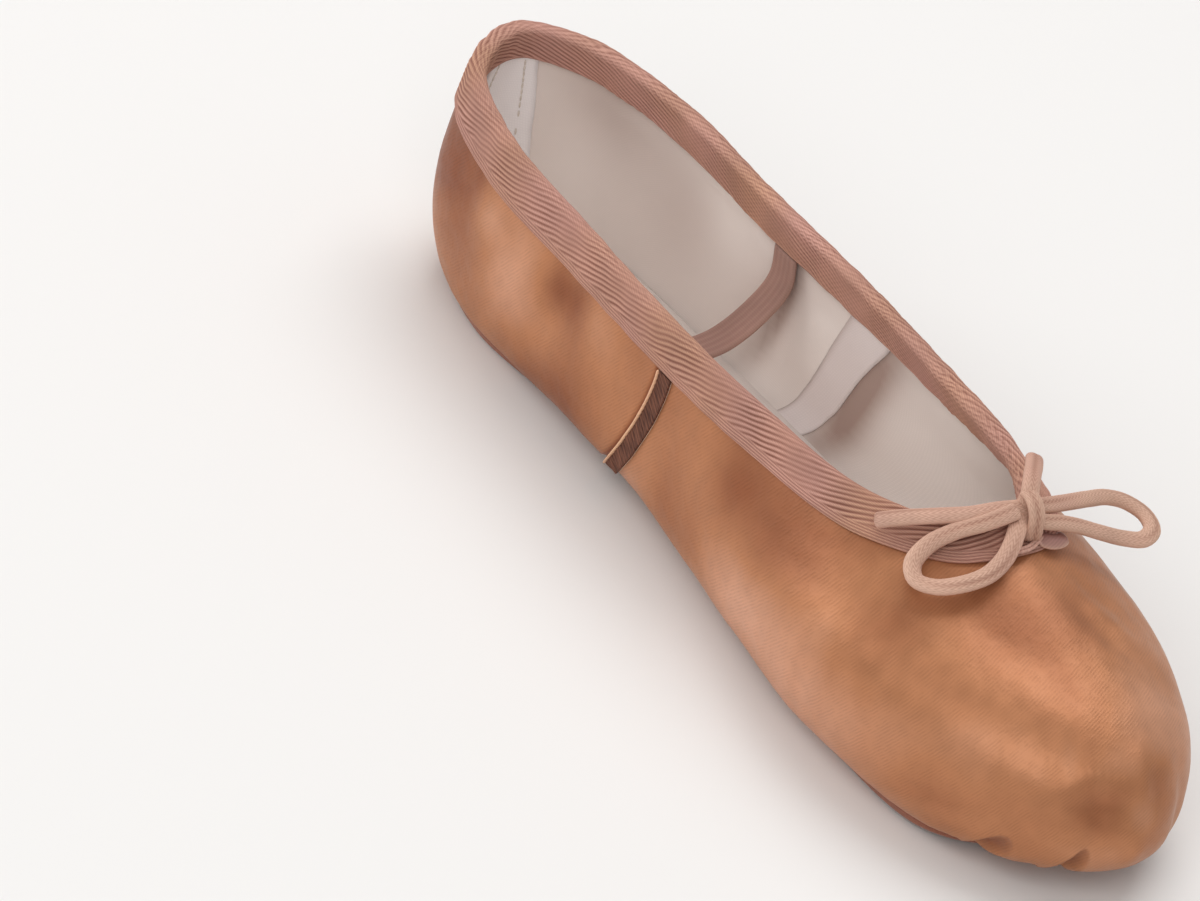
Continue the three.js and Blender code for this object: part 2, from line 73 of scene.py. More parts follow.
ROUND = 2 * TOE
TOE_CORNER = 7
WIDEST = 0.4
SEAM_TOP = 4.05
SEAM_FOOT = 3.48
STRAP_AT = 3.25
GROOVE_DEPTH = 0.6 * MM
TOE_PUFF = 2.3 * MM
CREASE_UNIT = 0.85 * MM
FLAP_COLUMNS = 12
CORD_SIDES = 60
STRAP_RIBS = 5
BRAID_PITCH = 1.3 * MM

# Pockets of the toe gathers: place across the front from -1 to 1, half width on that scale,
# share of the gather depth, and how far up the wall they reach.
GATHERS = (
    (-0.88, 0.10, 0.45, 0.20), (-0.66, 0.12, 0.80, 0.26), (-0.40, 0.14, 0.90, 0.28),
    (-0.12, 0.15, 0.90, 0.26), (0.14, 0.12, 0.90, 0.24), (0.345, 0.09, 1.00, 0.37),
    (0.52, 0.10, 0.80, 0.22), (0.80, 0.12, 0.75, 0.34), (0.96, 0.08, 0.40, 0.18),
)

# The satin's creases: the places (t, q) that each runs through, its half width in mm, and its
# height in units of 0.85 mm, which is negative for a trough.
CREASES = (
    (((14.85, 0.78), (14.98, 0.66), (15.20, 0.48), (15.30, 0.30)), 4.5, -1.3),
    (((15.35, 0.74), (15.42, 0.58), (15.55, 0.44), (15.70, 0.30)), 5.5, 1.1),
    (((14.55, 0.80), (14.68, 0.64), (14.80, 0.44)), 5.0, 0.8),
    (((16.05, 0.66), (16.15, 0.48), (16.25, 0.30)), 6.0, -0.7),
    (((3.00, 0.80), (2.92, 0.62), (2.75, 0.40)), 4.8, -1.1),
    (((2.45, 0.78), (2.40, 0.58), (2.30, 0.34)), 6.0, 0.9),
    (((13.20, 0.76), (12.90, 0.70), (12.40, 0.68), (11.90, 0.72)), 6.0, -0.8),
    (((13.40, 0.44), (12.90, 0.50), (12.30, 0.52), (11.70, 0.58)), 7.0, 0.7),
    (((4.80, 0.76), (5.10, 0.68), (5.60, 0.66)), 6.0, -0.7),
    (((4.60, 0.46), (5.10, 0.52), (5.70, 0.56)), 7.0, 0.6),
    (((10.60, 0.86), (10.10, 0.80), (9.60, 0.78)), 4.0, -0.6),
    (((10.40, 0.76), (9.90, 0.70), (9.30, 0.70)), 4.5, 0.5),
    (((8.30, 0.90), (8.00, 0.82), (7.70, 0.74), (7.30, 0.68)), 3.2, -0.7),
    (((8.00, 0.90), (7.70, 0.80), (7.35, 0.74), (6.90, 0.70)), 3.0, 0.6),
    (((7.70, 0.90), (7.35, 0.84), (7.00, 0.80)), 2.6, -0.5),
    (((8.20, 0.72), (7.70, 0.66), (7.20, 0.62)), 3.2, -0.5),
    (((10.15, 0.50), (9.70, 0.56), (9.20, 0.55), (8.70, 0.59), (8.30, 0.55)), 2.4, 0.6),
    (((10.00, 0.44), (9.60, 0.48), (9.10, 0.46), (8.60, 0.50)), 3.6, -0.9),
    (((9.55, 0.30), (9.60, 0.40), (9.62, 0.52)), 2.2, -0.7),
    (((9.10, 0.30), (9.05, 0.42), (8.95, 0.54)), 2.4, 0.6),
    (((10.35, 0.28), (10.50, 0.38), (10.65, 0.48)), 2.6, -0.6),
    (((8.30, 0.30), (8.15, 0.40), (8.05, 0.50)), 2.6, -0.6),
)

# Painted light and shade on the satin: the place (t, q), its radius in mm, and how far it is from the
# cloth's own colour, from -1, deep painted shade, to 1, painted highlight.
SATIN_LIGHT_AND_SHADE = (
    (13.15, 0.72, 10, -0.8), (12.75, 0.66, 11, -0.8), (12.30, 0.70, 9, -0.35), (13.62, 0.41, 9, -0.45),
    (12.90, 0.40, 12, 0.9), (12.20, 0.36, 13, 0.6), (11.60, 0.80, 8, -0.4),
    (11.30, 0.40, 8, -0.4), (10.40, 0.42, 8, -0.4), (9.62, 0.46, 5, -0.5), (9.34, 0.50, 4, -0.35),
    (9.02, 0.46, 4, 0.5), (8.70, 0.50, 5, -0.5), (10.30, 0.84, 9, -0.35), (7.50, 0.74, 9, 0.4),
    (8.60, 0.84, 7, -0.35), (8.00, 0.62, 7, 0.3), (16.25, 0.36, 12, -0.6), (16.55, 0.66, 9, -1.0),
    (16.20, 0.70, 6, -0.9), (16.55, 0.84, 7, -0.8), (17.00, 0.42, 9, -0.6), (17.30, 0.66, 9, -0.6),
    (15.50, 0.48, 9, 0.8), (15.85, 0.60, 5, 0.6), (15.04, 0.66, 7, -1.0), (14.90, 0.28, 9, -0.5),
    (15.40, 0.14, 9, -0.6), (14.60, 0.70, 7, 0.2), (14.22, 0.28, 5, 0.4), (2.50, 0.50, 10, 0.6),
    (1.80, 0.42, 13, -0.7), (5.00, 0.70, 11, -0.6),
    (5.30, 0.42, 13, 0.6), (6.60, 0.46, 12, 0.3), (0.30, 0.55, 9, -0.3),
)

# The same painted light and shade for the lining, where -1 is the deepest painted shade; the dark
# patches at the heel are the shade inside it.
LINING_LIGHT_AND_SHADE = (
    (1.20, 0.70, 13, -0.3), (2.10, 0.45, 14, -0.25), (2.60, 0.75, 10, 0.3), (3.60, 0.60, 9, 0.3),
    (5.60, 0.70, 14, -0.12),
)

# Streaks of shade in the lining, beside the side seam's flap and behind the strap: the places
# (t, q) that each runs through, its half width in mm, and its tone.
LINING_STREAKS = (
    (
        ((4.54, 1.05), (4.36, 0.87), (4.11, 0.69), (3.95, 0.54), (3.86, 0.40), (3.81, 0.24),
         (3.78, -0.20)),
        5.4, -1.05,
    ),
    (((3.42, 0.98), (3.33, 0.78), (3.23, 0.63), (3.14, 0.48), (3.08, 0.37), (3.00, 0.20)), 2.6, -0.8),
)

# The tapes over the inner seams, from the sole up: q, the middle's t, and the width in mm.
BACK_TAPE = (
    (0.03, 0, 17.5), (0.24, 0, 17.8), (0.39, 0, 16.8), (0.58, 0, 14.8), (0.76, 0, 12.6), (0.95, 0, 11.8),
)
SEAM_FLAP = (
    (0.03, 3.56, 8.4), (0.27, 3.60, 8.6), (0.41, 3.66, 9.3), (0.54, 3.75, 9.8), (0.69, 3.90, 10.9),
    (0.86, 4.13, 12.4), (0.97, 4.30, 13.2),
)

# The drawstring's routes in mm: a loop from inside the knot, round and back, then an end.
LOOP_LEFT = (
    (59.6, 0.2, 51.8), (59.6, -3.4, 51.0), (58.8, -6.9, 49.6), (57.0, -11.5, 47.5),
    (56.3, -16.2, 45.0), (57.3, -19.6, 42.2), (60.2, -20.6, 40.9), (63.6, -18.6, 41.3),
    (66.0, -14.2, 42.8), (66.7, -9.6, 44.4), (65.8, -6.0, 46.3), (64.3, -3.6, 48.0),
    (62.4, -1.5, 49.1), (60.4, 0.6, 49.4), (58.9, 2.2, 49.9), (58.1, 3.2, 51.2),
)
LOOP_RIGHT = (
    (59.4, 2.8, 49.8), (61.0, 5.8, 49.0), (60.7, 10.6, 47.4), (60.4, 16.0, 45.2),
    (60.8, 21.6, 42.8), (61.8, 27.0, 41.0), (62.4, 31.6, 40.2), (60.6, 35.0, 40.4),
    (56.4, 36.2, 40.7), (52.6, 34.4, 41.2), (51.4, 30.6, 42.2), (52.6, 24.6, 44.0),
    (54.9, 17.4, 46.5), (57.0, 10.4, 48.9), (57.8, 5.8, 50.1), (58.0, 1.5, 50.8),
)
END_LEFT = (
    (57.2, -2.0, 50.6), (55.8, -7.3, 49.7), (53.0, -12.3, 48.4), (49.7, -17.1, 46.7),
    (46.6, -21.7, 44.7),
)
END_RIGHT = (
    (57.3, 4.2, 52.7), (55.3, 5.9, 53.4), (52.4, 8.5, 52.9), (48.9, 11.9, 51.6), (45.4, 15.0, 50.5),
)
KNOT_TURN = (
    (57.4, 3.9, 53.0), (59.9, 3.4, 53.0), (61.9, 3.0, 51.4), (62.6, 2.7, 49.0), (62.3, 3.0, 46.9),
    (60.4, 3.6, 46.4), (58.4, 4.0, 47.6), (56.8, 4.2, 50.4),
)
TAPE_END = ((61.4, 5.4, 45.6), (62.6, 7.6, 45.1), (62.6, 9.9, 44.8), (61.4, 12.2, 44.6))
KNOT_TACK = ((64.6, -1.8, 46.5), (64.2, 0.6, 46.2), (63.4, 2.8, 46.1), (62.2, 5.0, 46.5))


def linear(colour):
    """A hex colour as sRGB, turned to linear red, green, blue and alpha."""
    shares = [int(colour[i : i + 2], 16) / 255 for i in (0, 2, 4)]
    return (*(s / 12.92 if s <= 0.04045 else ((s + 0.055) / 1.055) ** 2.4 for s in shares), 1.0)


def length(name, description, millimetres):
    """A size of the slipper, kept in metres."""
    return bpy.props.FloatProperty(
        name=name, description=description, default=millimetres * MM, min=0.0, precision=4, unit="LENGTH"
    )


def colour(name, description, value):
    """A colour of the slipper, given as sRGB hex."""
    return bpy.props.FloatVectorProperty(
        name=name, description=description, default=linear(value), size=4, min=0.0, max=1.0, subtype="COLOR"
    )


class SlipperSizes(bpy.types.PropertyGroup):
    """Sizes of the last and of what is sewn on it"""

    shoe_length: length("Shoe length", "From the heel to the toe", 225)
    ball_width: length("Ball width", "Widest part of the forefoot", 68)
    heel_height: length("Heel height", "Collar at the back of the heel", 49.5)
    side_height: length("Side height", "Collar at the waist", 44.5)
    instep_height: length("Instep height", "Collar at the throat", 47.7)
    widest_height: length("Widest height", "Height of the widest line at the waist", 14)
    heel_bulge_height: length("Heel bulge height", "Height of the widest line at the heel", 28.7)
    toe_height: length("Toe height", "Height of the widest line at the toe", 15.9)
    collar_length: length("Collar length", "Opening from back to front", 166)
    collar_width: length("Collar width", "Opening from side to side", 47.4)
    collar_set_in: length("Collar set in", "Collar's back in front of the heel's bulge", 1.4)
    vamp_sweep: length("Vamp sweep", "How far the vamp rises towards the throat", 15)
    sole_length: length("Sole length", "Outsole from back to front", 195)
    sole_width: length("Sole width", "Outsole at the ball", 51)
    sole_set_in: length("Sole set in", "Outsole's back in front of the heel", 11.5)
    sole_thickness: length("Sole thickness", "Suede outsole", 2)
    arch_rise: length("Arch rise", "Lift of the sole at the waist", 1.2)
    toe_spring: length("Toe spring", "Lift of the sole at the toe", 2)
    sock_thickness: length("Sock thickness", "Insole", 1.2)
    upper_wall: length("Upper wall", "Satin and lining together", 1.6)
    satin_thickness: length("Satin thickness", "Outer layer of the upper", 0.7)
    seat_gap: length("Seat gap", "Air between layers", 0.3)
    margin_width: length("Margin width", "Turned edge that lies on the sole", 7)
    gather_depth: length("Gather depth", "Deepest pocket of the toe gathers", 3.2)
    binding_width: length("Binding width", "Tape outside the collar", 9.6)
    binding_inner_width: length("Binding inner width", "Tape inside the collar", 7.4)
    binding_thickness: length("Binding thickness", "Folded tape", 0.8)
    casing_round: length("Casing round", "Rounded top of the drawstring casing", 1.2)
    rib_pitch: length("Rib pitch", "Distance between the tape's ribs", 1.0)
    seam_strip_width: length("Seam strip width", "Ribbed strip at the side seam", 4)
    strap_width: length("Strap width", "Elastic strap", 7)
    strap_thickness: length("Strap thickness", "Elastic strap", 1.2)
    strap_low_point: length("Strap low point", "Middle of the slack strap above the floor", 17.5)
    cord_width: length("Cord width", "Flat side of the drawstring", 3.5)
    cord_thickness: length("Cord thickness", "Edge of the drawstring", 2.3)
    stitch_inset: length("Stitch inset", "Sole stitching in from the edge", 5)
    stitch_length: length("Stitch length", "One stitch of the sole", 2.8)
    stitch_pitch: length("Stitch pitch", "From one stitch to the next", 4)


class SlipperColours(bpy.types.PropertyGroup):
    """Colours of the slipper's cloths, leather and cord"""

    satin: colour("Satin", "Bronze tan satin", "B97D57")
    # Satin light is the painted highlight colour of the satin and Satin deep its painted shade colour; the
    # folded edge takes Satin light as its darker colour.
    satin_painted_highlight: colour("Satin light", "Satin where the thread lies flat", "D8A285")
    satin_painted_shade: colour("Satin deep", "Satin where the nap is rubbed", "8A4E30")
    # Satin fold is a pale painted highlight along the quarter's folded edge.
    satin_fold_highlight: colour("Satin fold", "Folded edge of the quarter", "EFC09A")
    # The groove colours of the tape, the seam strip, the elastic and the cord are painted shade in the
    # grooves between their ribs and strands.
    tape: colour("Tape", "Ribs of the binding", "C9988A")
    tape_tan: colour("Tape tan", "Binding where it is less rosy", "C2937A")
    tape_groove: colour("Tape groove", "Grooves between the ribs", "865748")
    seam: colour("Seam strip", "Dark ribbed strip", "7A4E3C")
    seam_groove: colour("Seam strip groove", "Grooves of the strip", "4A2B21")
    cotton: colour("Cotton", "Lining and sock", "F4EAE3")
    # Cotton shade is the colour of the painted shade in the lining and tapes, and the darker colour of the
    # cotton's own uneven patches.
    cotton_shade: colour("Cotton shade", "Lining where it is worn", "AC9388")
    flap: colour("Side seam flap", "Cotton tape over the side seams inside", "F2E8E5")
    tape_white: colour("Seam tape", "Tape over the inner seams", "FFFCFC")
    leather: colour("Leather", "Suede outsole", "AF7052")
    leather_deep: colour("Leather deep", "Turned and rubbed parts of the sole", "8A5340")
    thread: colour("Thread", "Sole stitching", "E6DCD2")
    elastic: colour("Elastic", "Ribs of the strap", "A88477")
    elastic_groove: colour("Elastic groove", "Grooves of the strap", "946F64")
    cord: colour("Cord", "Braided drawstring", "D5AE98")
    cord_rose: colour("Cord rose", "Drawstring where it is rosier", "CFA291")
    cord_groove: colour("Cord groove", "Between the braid's strands", "996C59")
    tab: colour("Tab", "Turned end of the tape under the knot", "B3857C")
    floor: colour("Floor", "Studio floor", "ECEAE8")


def smooth(value):
    """0 below 0, 1 above 1, and a soft step between."""
    share = np.clip(value, 0, 1)
    return share * share * (3 - 2 * share)


def mix(a, b, share):
    """The value a share of the way from a to b."""
    return a + (b - a) * share


def unit(vectors):
    """The same directions, one long."""
    return vectors / np.maximum(np.linalg.norm(vectors, axis=-1, keepdims=True), 1e-12)


def on_curve(points, t):
    """Places on the closed centripetal Catmull-Rom curve through points, t counted in points."""
    count = len(points)
    t = np.mod(t, count)
    at = np.floor(t).astype(int)
    s = (t - at)[..., None]
    a, b, c, d = (points[(at + k) % count] for k in (-1, 0, 1, 2))
    ab, bc, cd = (np.sqrt(np.linalg.norm(end - start, axis=-1, keepdims=True))
                  for start, end in ((a, b), (b, c), (c, d)))
    leave = ((b - a) / ab - (c - a) / (ab + bc) + (c - b) / bc) * bc
    arrive = ((c - b) / bc - (d - b) / (bc + cd) + (d - c) / cd) * bc
    return b + leave * s + (3 * (c - b) - 2 * leave - arrive) * s**2 + (2 * (b - c) + leave + arrive) * s**3


def open_curve(points, steps):
    """Points along the open Catmull-Rom curve through points, its ends carried on straight."""
    points = np.asarray(points, float)
    padded = np.vstack([2 * points[0] - points[1], points, 2 * points[-1] - points[-2]])
    closed = np.vstack([padded, padded[-1] + (padded[-1] - padded[-2])])
    return on_curve(closed, np.linspace(1, len(points), steps))


def travelled(points, axis=0):
    """Distances from the start of a line of points, or of each line of a grid."""
    steps = np.linalg.norm(np.diff(points, axis=axis), axis=-1)
    start = np.zeros_like(np.take(steps, [0], axis=axis))
    return np.cumsum(np.concatenate([start, steps], axis=axis), axis=axis)


def evenly(line, spacing):
    """The same line with its points a spacing apart."""
    along = travelled(line)
    wanted = np.linspace(0, along[-1], max(2, round(along[-1] / spacing) + 1))
    return np.stack([np.interp(wanted, along, line[:, k]) for k in range(3)], -1)


class Last:
    """The form that the slipper is made over, the same as the solids of the frame.

    t goes round the shoe in sections: 0 at the heel, over the left side to 9 at the toe, and back
    over the right side. q goes up the wall: -1 at the inner edge of the margin on the sole, 0 at
    the sole's edge, 0.4 at the widest line, 1 at the collar's rim.
    """

    def __init__(self, sizes):
        self.sizes = sizes
        self.rows = dict(zip(COLUMNS, np.array(SECTIONS).T))
        row = self.rows
        half = sizes.shoe_length / 2
        self.sole_back = -half + sizes.sole_set_in
        heel = mix(sizes.widest_height, sizes.heel_bulge_height, row["bulge"])
        toe = mix(sizes.widest_height, sizes.toe_height, row["bulge"] / row["bulge"][-1])
        self.widest = self.closed(
            mix(-half, half, row["at"]),
            row["wide"] * sizes.ball_width / 2,
            np.where(row["at"] < 0.5, heel, toe),
        )
        self.rim = self.closed(
            -half + sizes.collar_set_in + row["rim_at"] * sizes.collar_length,
            row["rim"] * sizes.collar_width / 2,
            sizes.side_height
            + row["back"] * (sizes.heel_height - sizes.side_height)
            + row["front"] * (sizes.instep_height - sizes.side_height),
        )
        self.sole = self.closed(
            self.sole_back + row["sole_at"] * sizes.sole_length,
            row["sole"] * sizes.sole_width / 2,
            np.zeros(len(SECTIONS)),
        )

    @staticmethod
    def closed(x, y, z):
        """One side's points, then the other side's, mirrored."""
        side = np.stack([x, y, z], -1)
        return np.vstack([side, side[-2:0:-1] * (1, -1, 1)])

    def column(self, name, t):
        """A column of the table, read smoothly between its rows."""
        place = TOE - np.abs(TOE - np.mod(t, ROUND))
        row = np.minimum(np.floor(place).astype(int), TOE - 1)
        values = self.rows[name]
        return mix(values[row], values[row + 1], smooth(place - row))

    def lift(self, x):
        """How far the sole is off the floor."""
        along = (x - self.sole_back) / self.sizes.sole_length
        arch = smooth((along - 0.2) / 0.17) * smooth((0.58 - along) / 0.17)
        spring = smooth((along - 0.82) / 0.3) / smooth(0.18 / 0.3)
        return self.sizes.arch_rise * arch + self.sizes.toe_spring * spring

    def edge(self, t):
        """The sole's edge on the floor, and the way out from it."""
        edge = on_curve(self.sole, t)
        out = on_curve(self.widest, t) - edge
        out[..., 2] = 0
        return edge, unit(out)

    def face(self, t, q):
        """The outer face of the upper."""
        t, q = np.broadcast_arrays(np.asarray(t, float), np.asarray(q, float))
        sizes = self.sizes
        seat = sizes.sole_thickness + sizes.seat_gap
        edge, out = self.edge(t)
        foot = edge.copy()
        foot[..., 2] = seat + self.lift(foot[..., 0])
        margin = edge + out * (q * sizes.margin_width)[..., None]
        margin[..., 2] = seat + self.lift(margin[..., 0])
        side, rim = on_curve(self.widest, t), on_curve(self.rim, t)
        up = np.array([0, 0, 1.0])

        turn = self.column("turn", t)[..., None]
        reach = np.linalg.norm((side - foot)[..., :2], axis=-1, keepdims=True) * turn
        climb = (side - foot)[..., 2:] * turn
        low = bezier(foot, foot + out * reach, side - up * climb, side, q / WIDEST)

        inward = rim - side
        height = inward[..., 2:].copy()
        inward[..., 2] = 0
        run = np.linalg.norm(inward, axis=-1, keepdims=True)
        inward = inward / np.maximum(run, 1e-9)
        vamp = np.clip((run / MM - 6) / 30, 0, 1)
        leave = side + up * height * (0.4 + 0.25 * vamp)
        arrive = (rim - inward * run * (0.35 + 0.25 * vamp)
                  - up * (height * 0.35 * (1 - vamp) + sizes.vamp_sweep * vamp))
        high = bezier(side, leave, arrive, rim, (q - WIDEST) / (1 - WIDEST))
        return np.where((q <= 0)[..., None], margin, np.where((q <= WIDEST)[..., None], low, high))

    def normal(self, t, q):
        """The way out of the face."""
        t, q = np.broadcast_arrays(np.asarray(t, float), np.asarray(q, float))
        step = 0.004
        up = self.face(t, np.clip(q + step, 0, 1)) - self.face(t, np.clip(q - step, 0, 1))
        along = self.face(t + step, q) - self.face(t - step, q)
        return np.where((q <= 0)[..., None], np.array([0, 0, -1.0]), unit(np.cross(up, along)))

    def on(self, t, q, height):
        """Points off the face by a height."""
        return self.face(t, q) + self.normal(t, q) * np.asarray(height)[..., None]

    def below_rim(self, t, distances):
        """The q of each distance down the wall from the rim, one row for each t."""
        q = np.linspace(1, WIDEST, 90)
        down = travelled(self.face(np.asarray(t)[:, None], q), axis=1)
        return np.array([np.interp(distances, row, q) for row in down])

    def unrolled(self, t, q):
        """Places on the upper's flat pattern: the wall laid out from the rim, straight outwards."""
        table = np.linspace(1, -1, 160)
        down = travelled(self.face(t[:, None], table), axis=1)
        run = np.array([np.interp(-row, -table, far) for row, far in zip(q, down)])
        return on_curve(self.rim, t)[:, None, :2] + self.edge(t)[1][:, None, :2] * run[..., None]


def bezier(a, b, c, d, s):
    """A point of a cubic curve."""
    s = s[..., None]
    r = 1 - s
    return a * r**3 + 3 * b * r * r * s + 3 * c * r * s * s + d * s**3


def gathered(t, q):
    """How deep the toe gathers draw the satin in, as a share: scooped pockets with sharp ridges."""
    across = (t - TOE) / (TOE - TOE_CORNER)
    depth = np.zeros(np.broadcast(t, q).shape)
    for at, wide, deep, reach in GATHERS:
        sideways = (across - at) / wide
        upward = np.clip(q / reach, 0, 2)
        scoop = 1 - sideways**2 - np.clip((upward - 0.45) / 0.55, 0, None) ** 2
        depth += deep * np.clip(scoop, 0, 1) ** 0.8 * smooth(upward / 0.3)
    return depth


def streaks(last, points, places):
    """What the listed streaks add at each point.

    Each streak is a path of places (t, q), its half width in mm, and how much it adds.
    """
    total = np.zeros(points.shape[:-1])
    for path, width, amount in places:
        t, q = open_curve([(*place, 0) for place in path], 20)[:, :2].T
        line = last.face(t, q)
        most = np.zeros(total.shape)
        for place, fade in zip(line, np.sin(np.linspace(0, math.pi, len(line))) ** 0.7):
            off = np.linalg.norm(points - place, axis=-1) / (width * MM)
            np.maximum(most, fade * np.exp(-off * off), out=most)
        total += amount * most
    return total


def painted_light_and_shade(last, points, places):
    """The painted light and shade of the cloth at each point, from -1, deep painted shade, to 1, painted
    highlight.
    """
    tone = np.zeros(points.shape[:-1])
    for t, q, radius, amount in places:
        off = np.linalg.norm(points - last.face(t, q), axis=-1) / (radius * MM)
        tone += amount * np.exp(-off * off)
    return np.clip(tone, -1, 1)


def seam_line(last, steps, aside):
    """Places (t, q) along the left side seam, aside from its middle by a distance."""
    sizes = last.sizes
    share = np.linspace(0, 1, steps)
    top = last.below_rim(np.array([SEAM_TOP]), [sizes.binding_width + 2 * sizes.seat_gap])[0, 0]
    q, t = mix(0.03, top, share), mix(SEAM_FOOT, SEAM_TOP, share)
    return t + aside / section_length(last, t, q), q


def section_length(last, t, q):
    """How long one section is round the wall at each place."""
    step = 0.05
    return np.linalg.norm(last.face(t + step, q) - last.face(t - step, q), axis=-1) / (2 * step)


def relief(last, t, q, face):
    """How far the cloth stands off the last: creases, soft waves, and the full, gathered toe."""
    sizes = last.sizes
    trim = last.below_rim(t[:, 0], [sizes.binding_width])
    free = smooth(q / 0.08) * smooth((trim - q) / 0.1 + 0.25)
    waves = 0.2 * MM * rippled(face, 26 * MM, 5) + 0.05 * MM * rippled(face, 7 * MM, 6)
    swell = np.sin(math.pi * np.clip((q - 0.02) / 0.46, 0, 1))
    puff = TOE_PUFF * np.exp(-(((t - TOE) / 1.4) ** 2)) * swell
    cloth = free * (CREASE_UNIT * streaks(last, face, CREASES) + waves)
    return cloth + puff - sizes.gather_depth * gathered(t, q)


def on_cloth(last, t, q, height):
    """Points off the cloth's face, creases and all, by a height."""
    face = last.face(t, q)
    return face + last.normal(t, q) * (relief(last, t, q, face) + height)[..., None]


def seam_groove(last, face):
    """How deep each point is in the grooves behind the quarters' folded edges, as a share."""
    groove = np.zeros(face.shape[:-1])
    seam_t, seam_q = seam_line(last, 90, -last.sizes.seam_strip_width / 2 - 0.85 * MM)
    for side in (seam_t, ROUND - seam_t):
        for place in last.face(side, seam_q):
            off = np.linalg.norm(face - place, axis=-1) / (0.6 * MM)
            np.maximum(groove, np.exp(-off * off), out=groove)
    return groove


def rippled(points, size, seed):
    """Soft uneven waves over points, from -1 to 1, about a size apart."""
    turns = np.random.default_rng(seed)
    total = np.zeros(points.shape[:-1])
    for _ in range(7):
        way = unit(turns.normal(size=3)) * turns.uniform(0.7, 1.4) * 2 * math.pi / size
        total += np.sin(points @ way + turns.uniform(0, 2 * math.pi))
    return total / 3.5


def stations(plain, seam, toe):
    """Places round the shoe, closer together at the side seams and the toe gathers."""
    half = np.concatenate([
        np.linspace(0, 3.15, plain, endpoint=False),
        np.linspace(3.15, 4.35, seam, endpoint=False),
        np.linspace(4.35, TOE_CORNER, plain, endpoint=False),
        np.linspace(TOE_CORNER, TOE, toe, endpoint=False),
    ])
    return np.concatenate([half, [TOE], ROUND - half[:0:-1]])


def skin(name, points, wrap=(False, False), marks=None, pattern=None):
    """A mesh over a grid of points, with its UV map, "cloth", in metres.

    The map is the cloth's flat pattern, or else the distances over the grid. wrap closes the grid
    along its rows and its columns. marks are attributes, one value a point.
    """
    rows, columns = points.shape[:2]
    full, flat = carried_on(points, wrap), pattern
    if pattern is None:
        across = travelled(full, axis=1)
        along = np.broadcast_to(travelled(full[:, 0])[:, None], across.shape)
        flat = np.stack([along, across], -1)
    else:
        flat = carried_on(pattern, wrap)
    i, j = np.meshgrid(*(np.arange(n - 1) for n in full.shape[:2]), indexing="ij")
    corners = [(i, j), (i + 1, j), (i + 1, j + 1), (i, j + 1)]
    faces = np.stack([(a % rows) * columns + b % columns for a, b in corners], -1).reshape(-1, 4)
    uv = np.stack([flat[a, b] for a, b in corners], -2).reshape(-1, 4, 2)
    verts = points.reshape(-1, 3)
    a, b, c, d = (verts[faces[:, k]] for k in range(4))
    volume = np.einsum("ij,ij->i", a, np.cross(b, c)) + np.einsum("ij,ij->i", a, np.cross(c, d))
    if volume.sum() < 0:
        faces, uv = faces[:, ::-1], uv[:, ::-1]
    mesh = bpy.data.meshes.new(name)
    mesh.from_pydata(verts.tolist(), [], faces.tolist())
    mesh.uv_layers.new(name="cloth").data.foreach_set("uv", uv.reshape(-1).astype(np.float32))
    for mark, values in (marks or {}).items():
        layer = mesh.attributes.new(mark, "FLOAT", "POINT")
        layer.data.foreach_set("value", np.asarray(values, np.float32).reshape(-1))
    return placed(name, mesh)


def carried_on(grid, wrap):
    """A grid with its first row and column repeated at its end, where it wraps."""
    grid = np.concatenate([grid, grid[:1]], 0) if wrap[0] else grid
    return np.concatenate([grid, grid[:, :1]], 1) if wrap[1] else grid


def placed(name, mesh):
    """An object at the origin for a mesh whose doubles are merged and whose faces are smooth."""
    work = bmesh.new()
    work.from_mesh(mesh)
    bmesh.ops.remove_doubles(work, verts=work.verts, dist=1e-6)
    work.to_mesh(mesh)
    work.free()
    mesh.polygons.foreach_set("use_smooth", [True] * len(mesh.polygons))
    piece = bpy.data.objects.new(name, mesh)
    bpy.context.scene.collection.objects.link(piece)
    return piece


def fitted(piece, material, slot, *nodes):
    """Gives a piece its material and hides the CAD nodes that it stands for; the slot is not used."""
    piece.data.materials.clear()
    piece.data.materials.append(material)
    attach(piece, "root")
    if nodes:
        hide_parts(*nodes)
    return piece


def tube(line, width, depth, up, sides=24, tip=0.0, relief=None):
    """The points of a cord's surface along a line: flat ovals whose flat side faces up.

    tip is the length over which each end closes, and relief(along, turn) raises the surface.
    """
    along = travelled(line)
    way = unit(np.gradient(line, axis=0))
    side = unit(np.cross(way, up))
    over = np.cross(side, way)
    turn = np.linspace(0, 2 * math.pi, sides, endpoint=False)
    left = np.minimum(along, along[-1] - along)
    full = np.ones(len(line))
    if tip:
        full = np.sqrt(1 - (1 - np.clip(left / tip, 0, 1)) ** 2)
    raised = relief(along[:, None], turn) if relief else np.zeros((len(line), sides))
    wide = (width / 2 + raised) * full[:, None]
    deep = (depth / 2 + raised) * full[:, None]
    return (line[:, None] + side[:, None] * (wide * np.cos(turn))[..., None]
            + over[:, None] * (deep * np.sin(turn))[..., None])


def braid(along, turn):
    """A braided cord's strands, -1 in the grooves and 1 on top: columns that slant to and fro."""
    column = np.abs(np.mod(turn * 9 / math.pi, 2) - 1)
    return np.cos(2 * math.pi * (along / BRAID_PITCH + 1.2 * column))


def flattened(along, turn):
    """How far a hollow braid's surface is raised: its strands, and channels where it has gone flat."""
    channel = np.exp(-(((turn - 1.35 - 0.3 * np.sin(along / (9 * MM))) / 0.32) ** 2))
    depth = 0.16 * (0.55 + 0.45 * np.sin(along / (5 * MM)))
    return (0.022 * braid(along, turn) - depth * channel) * MM


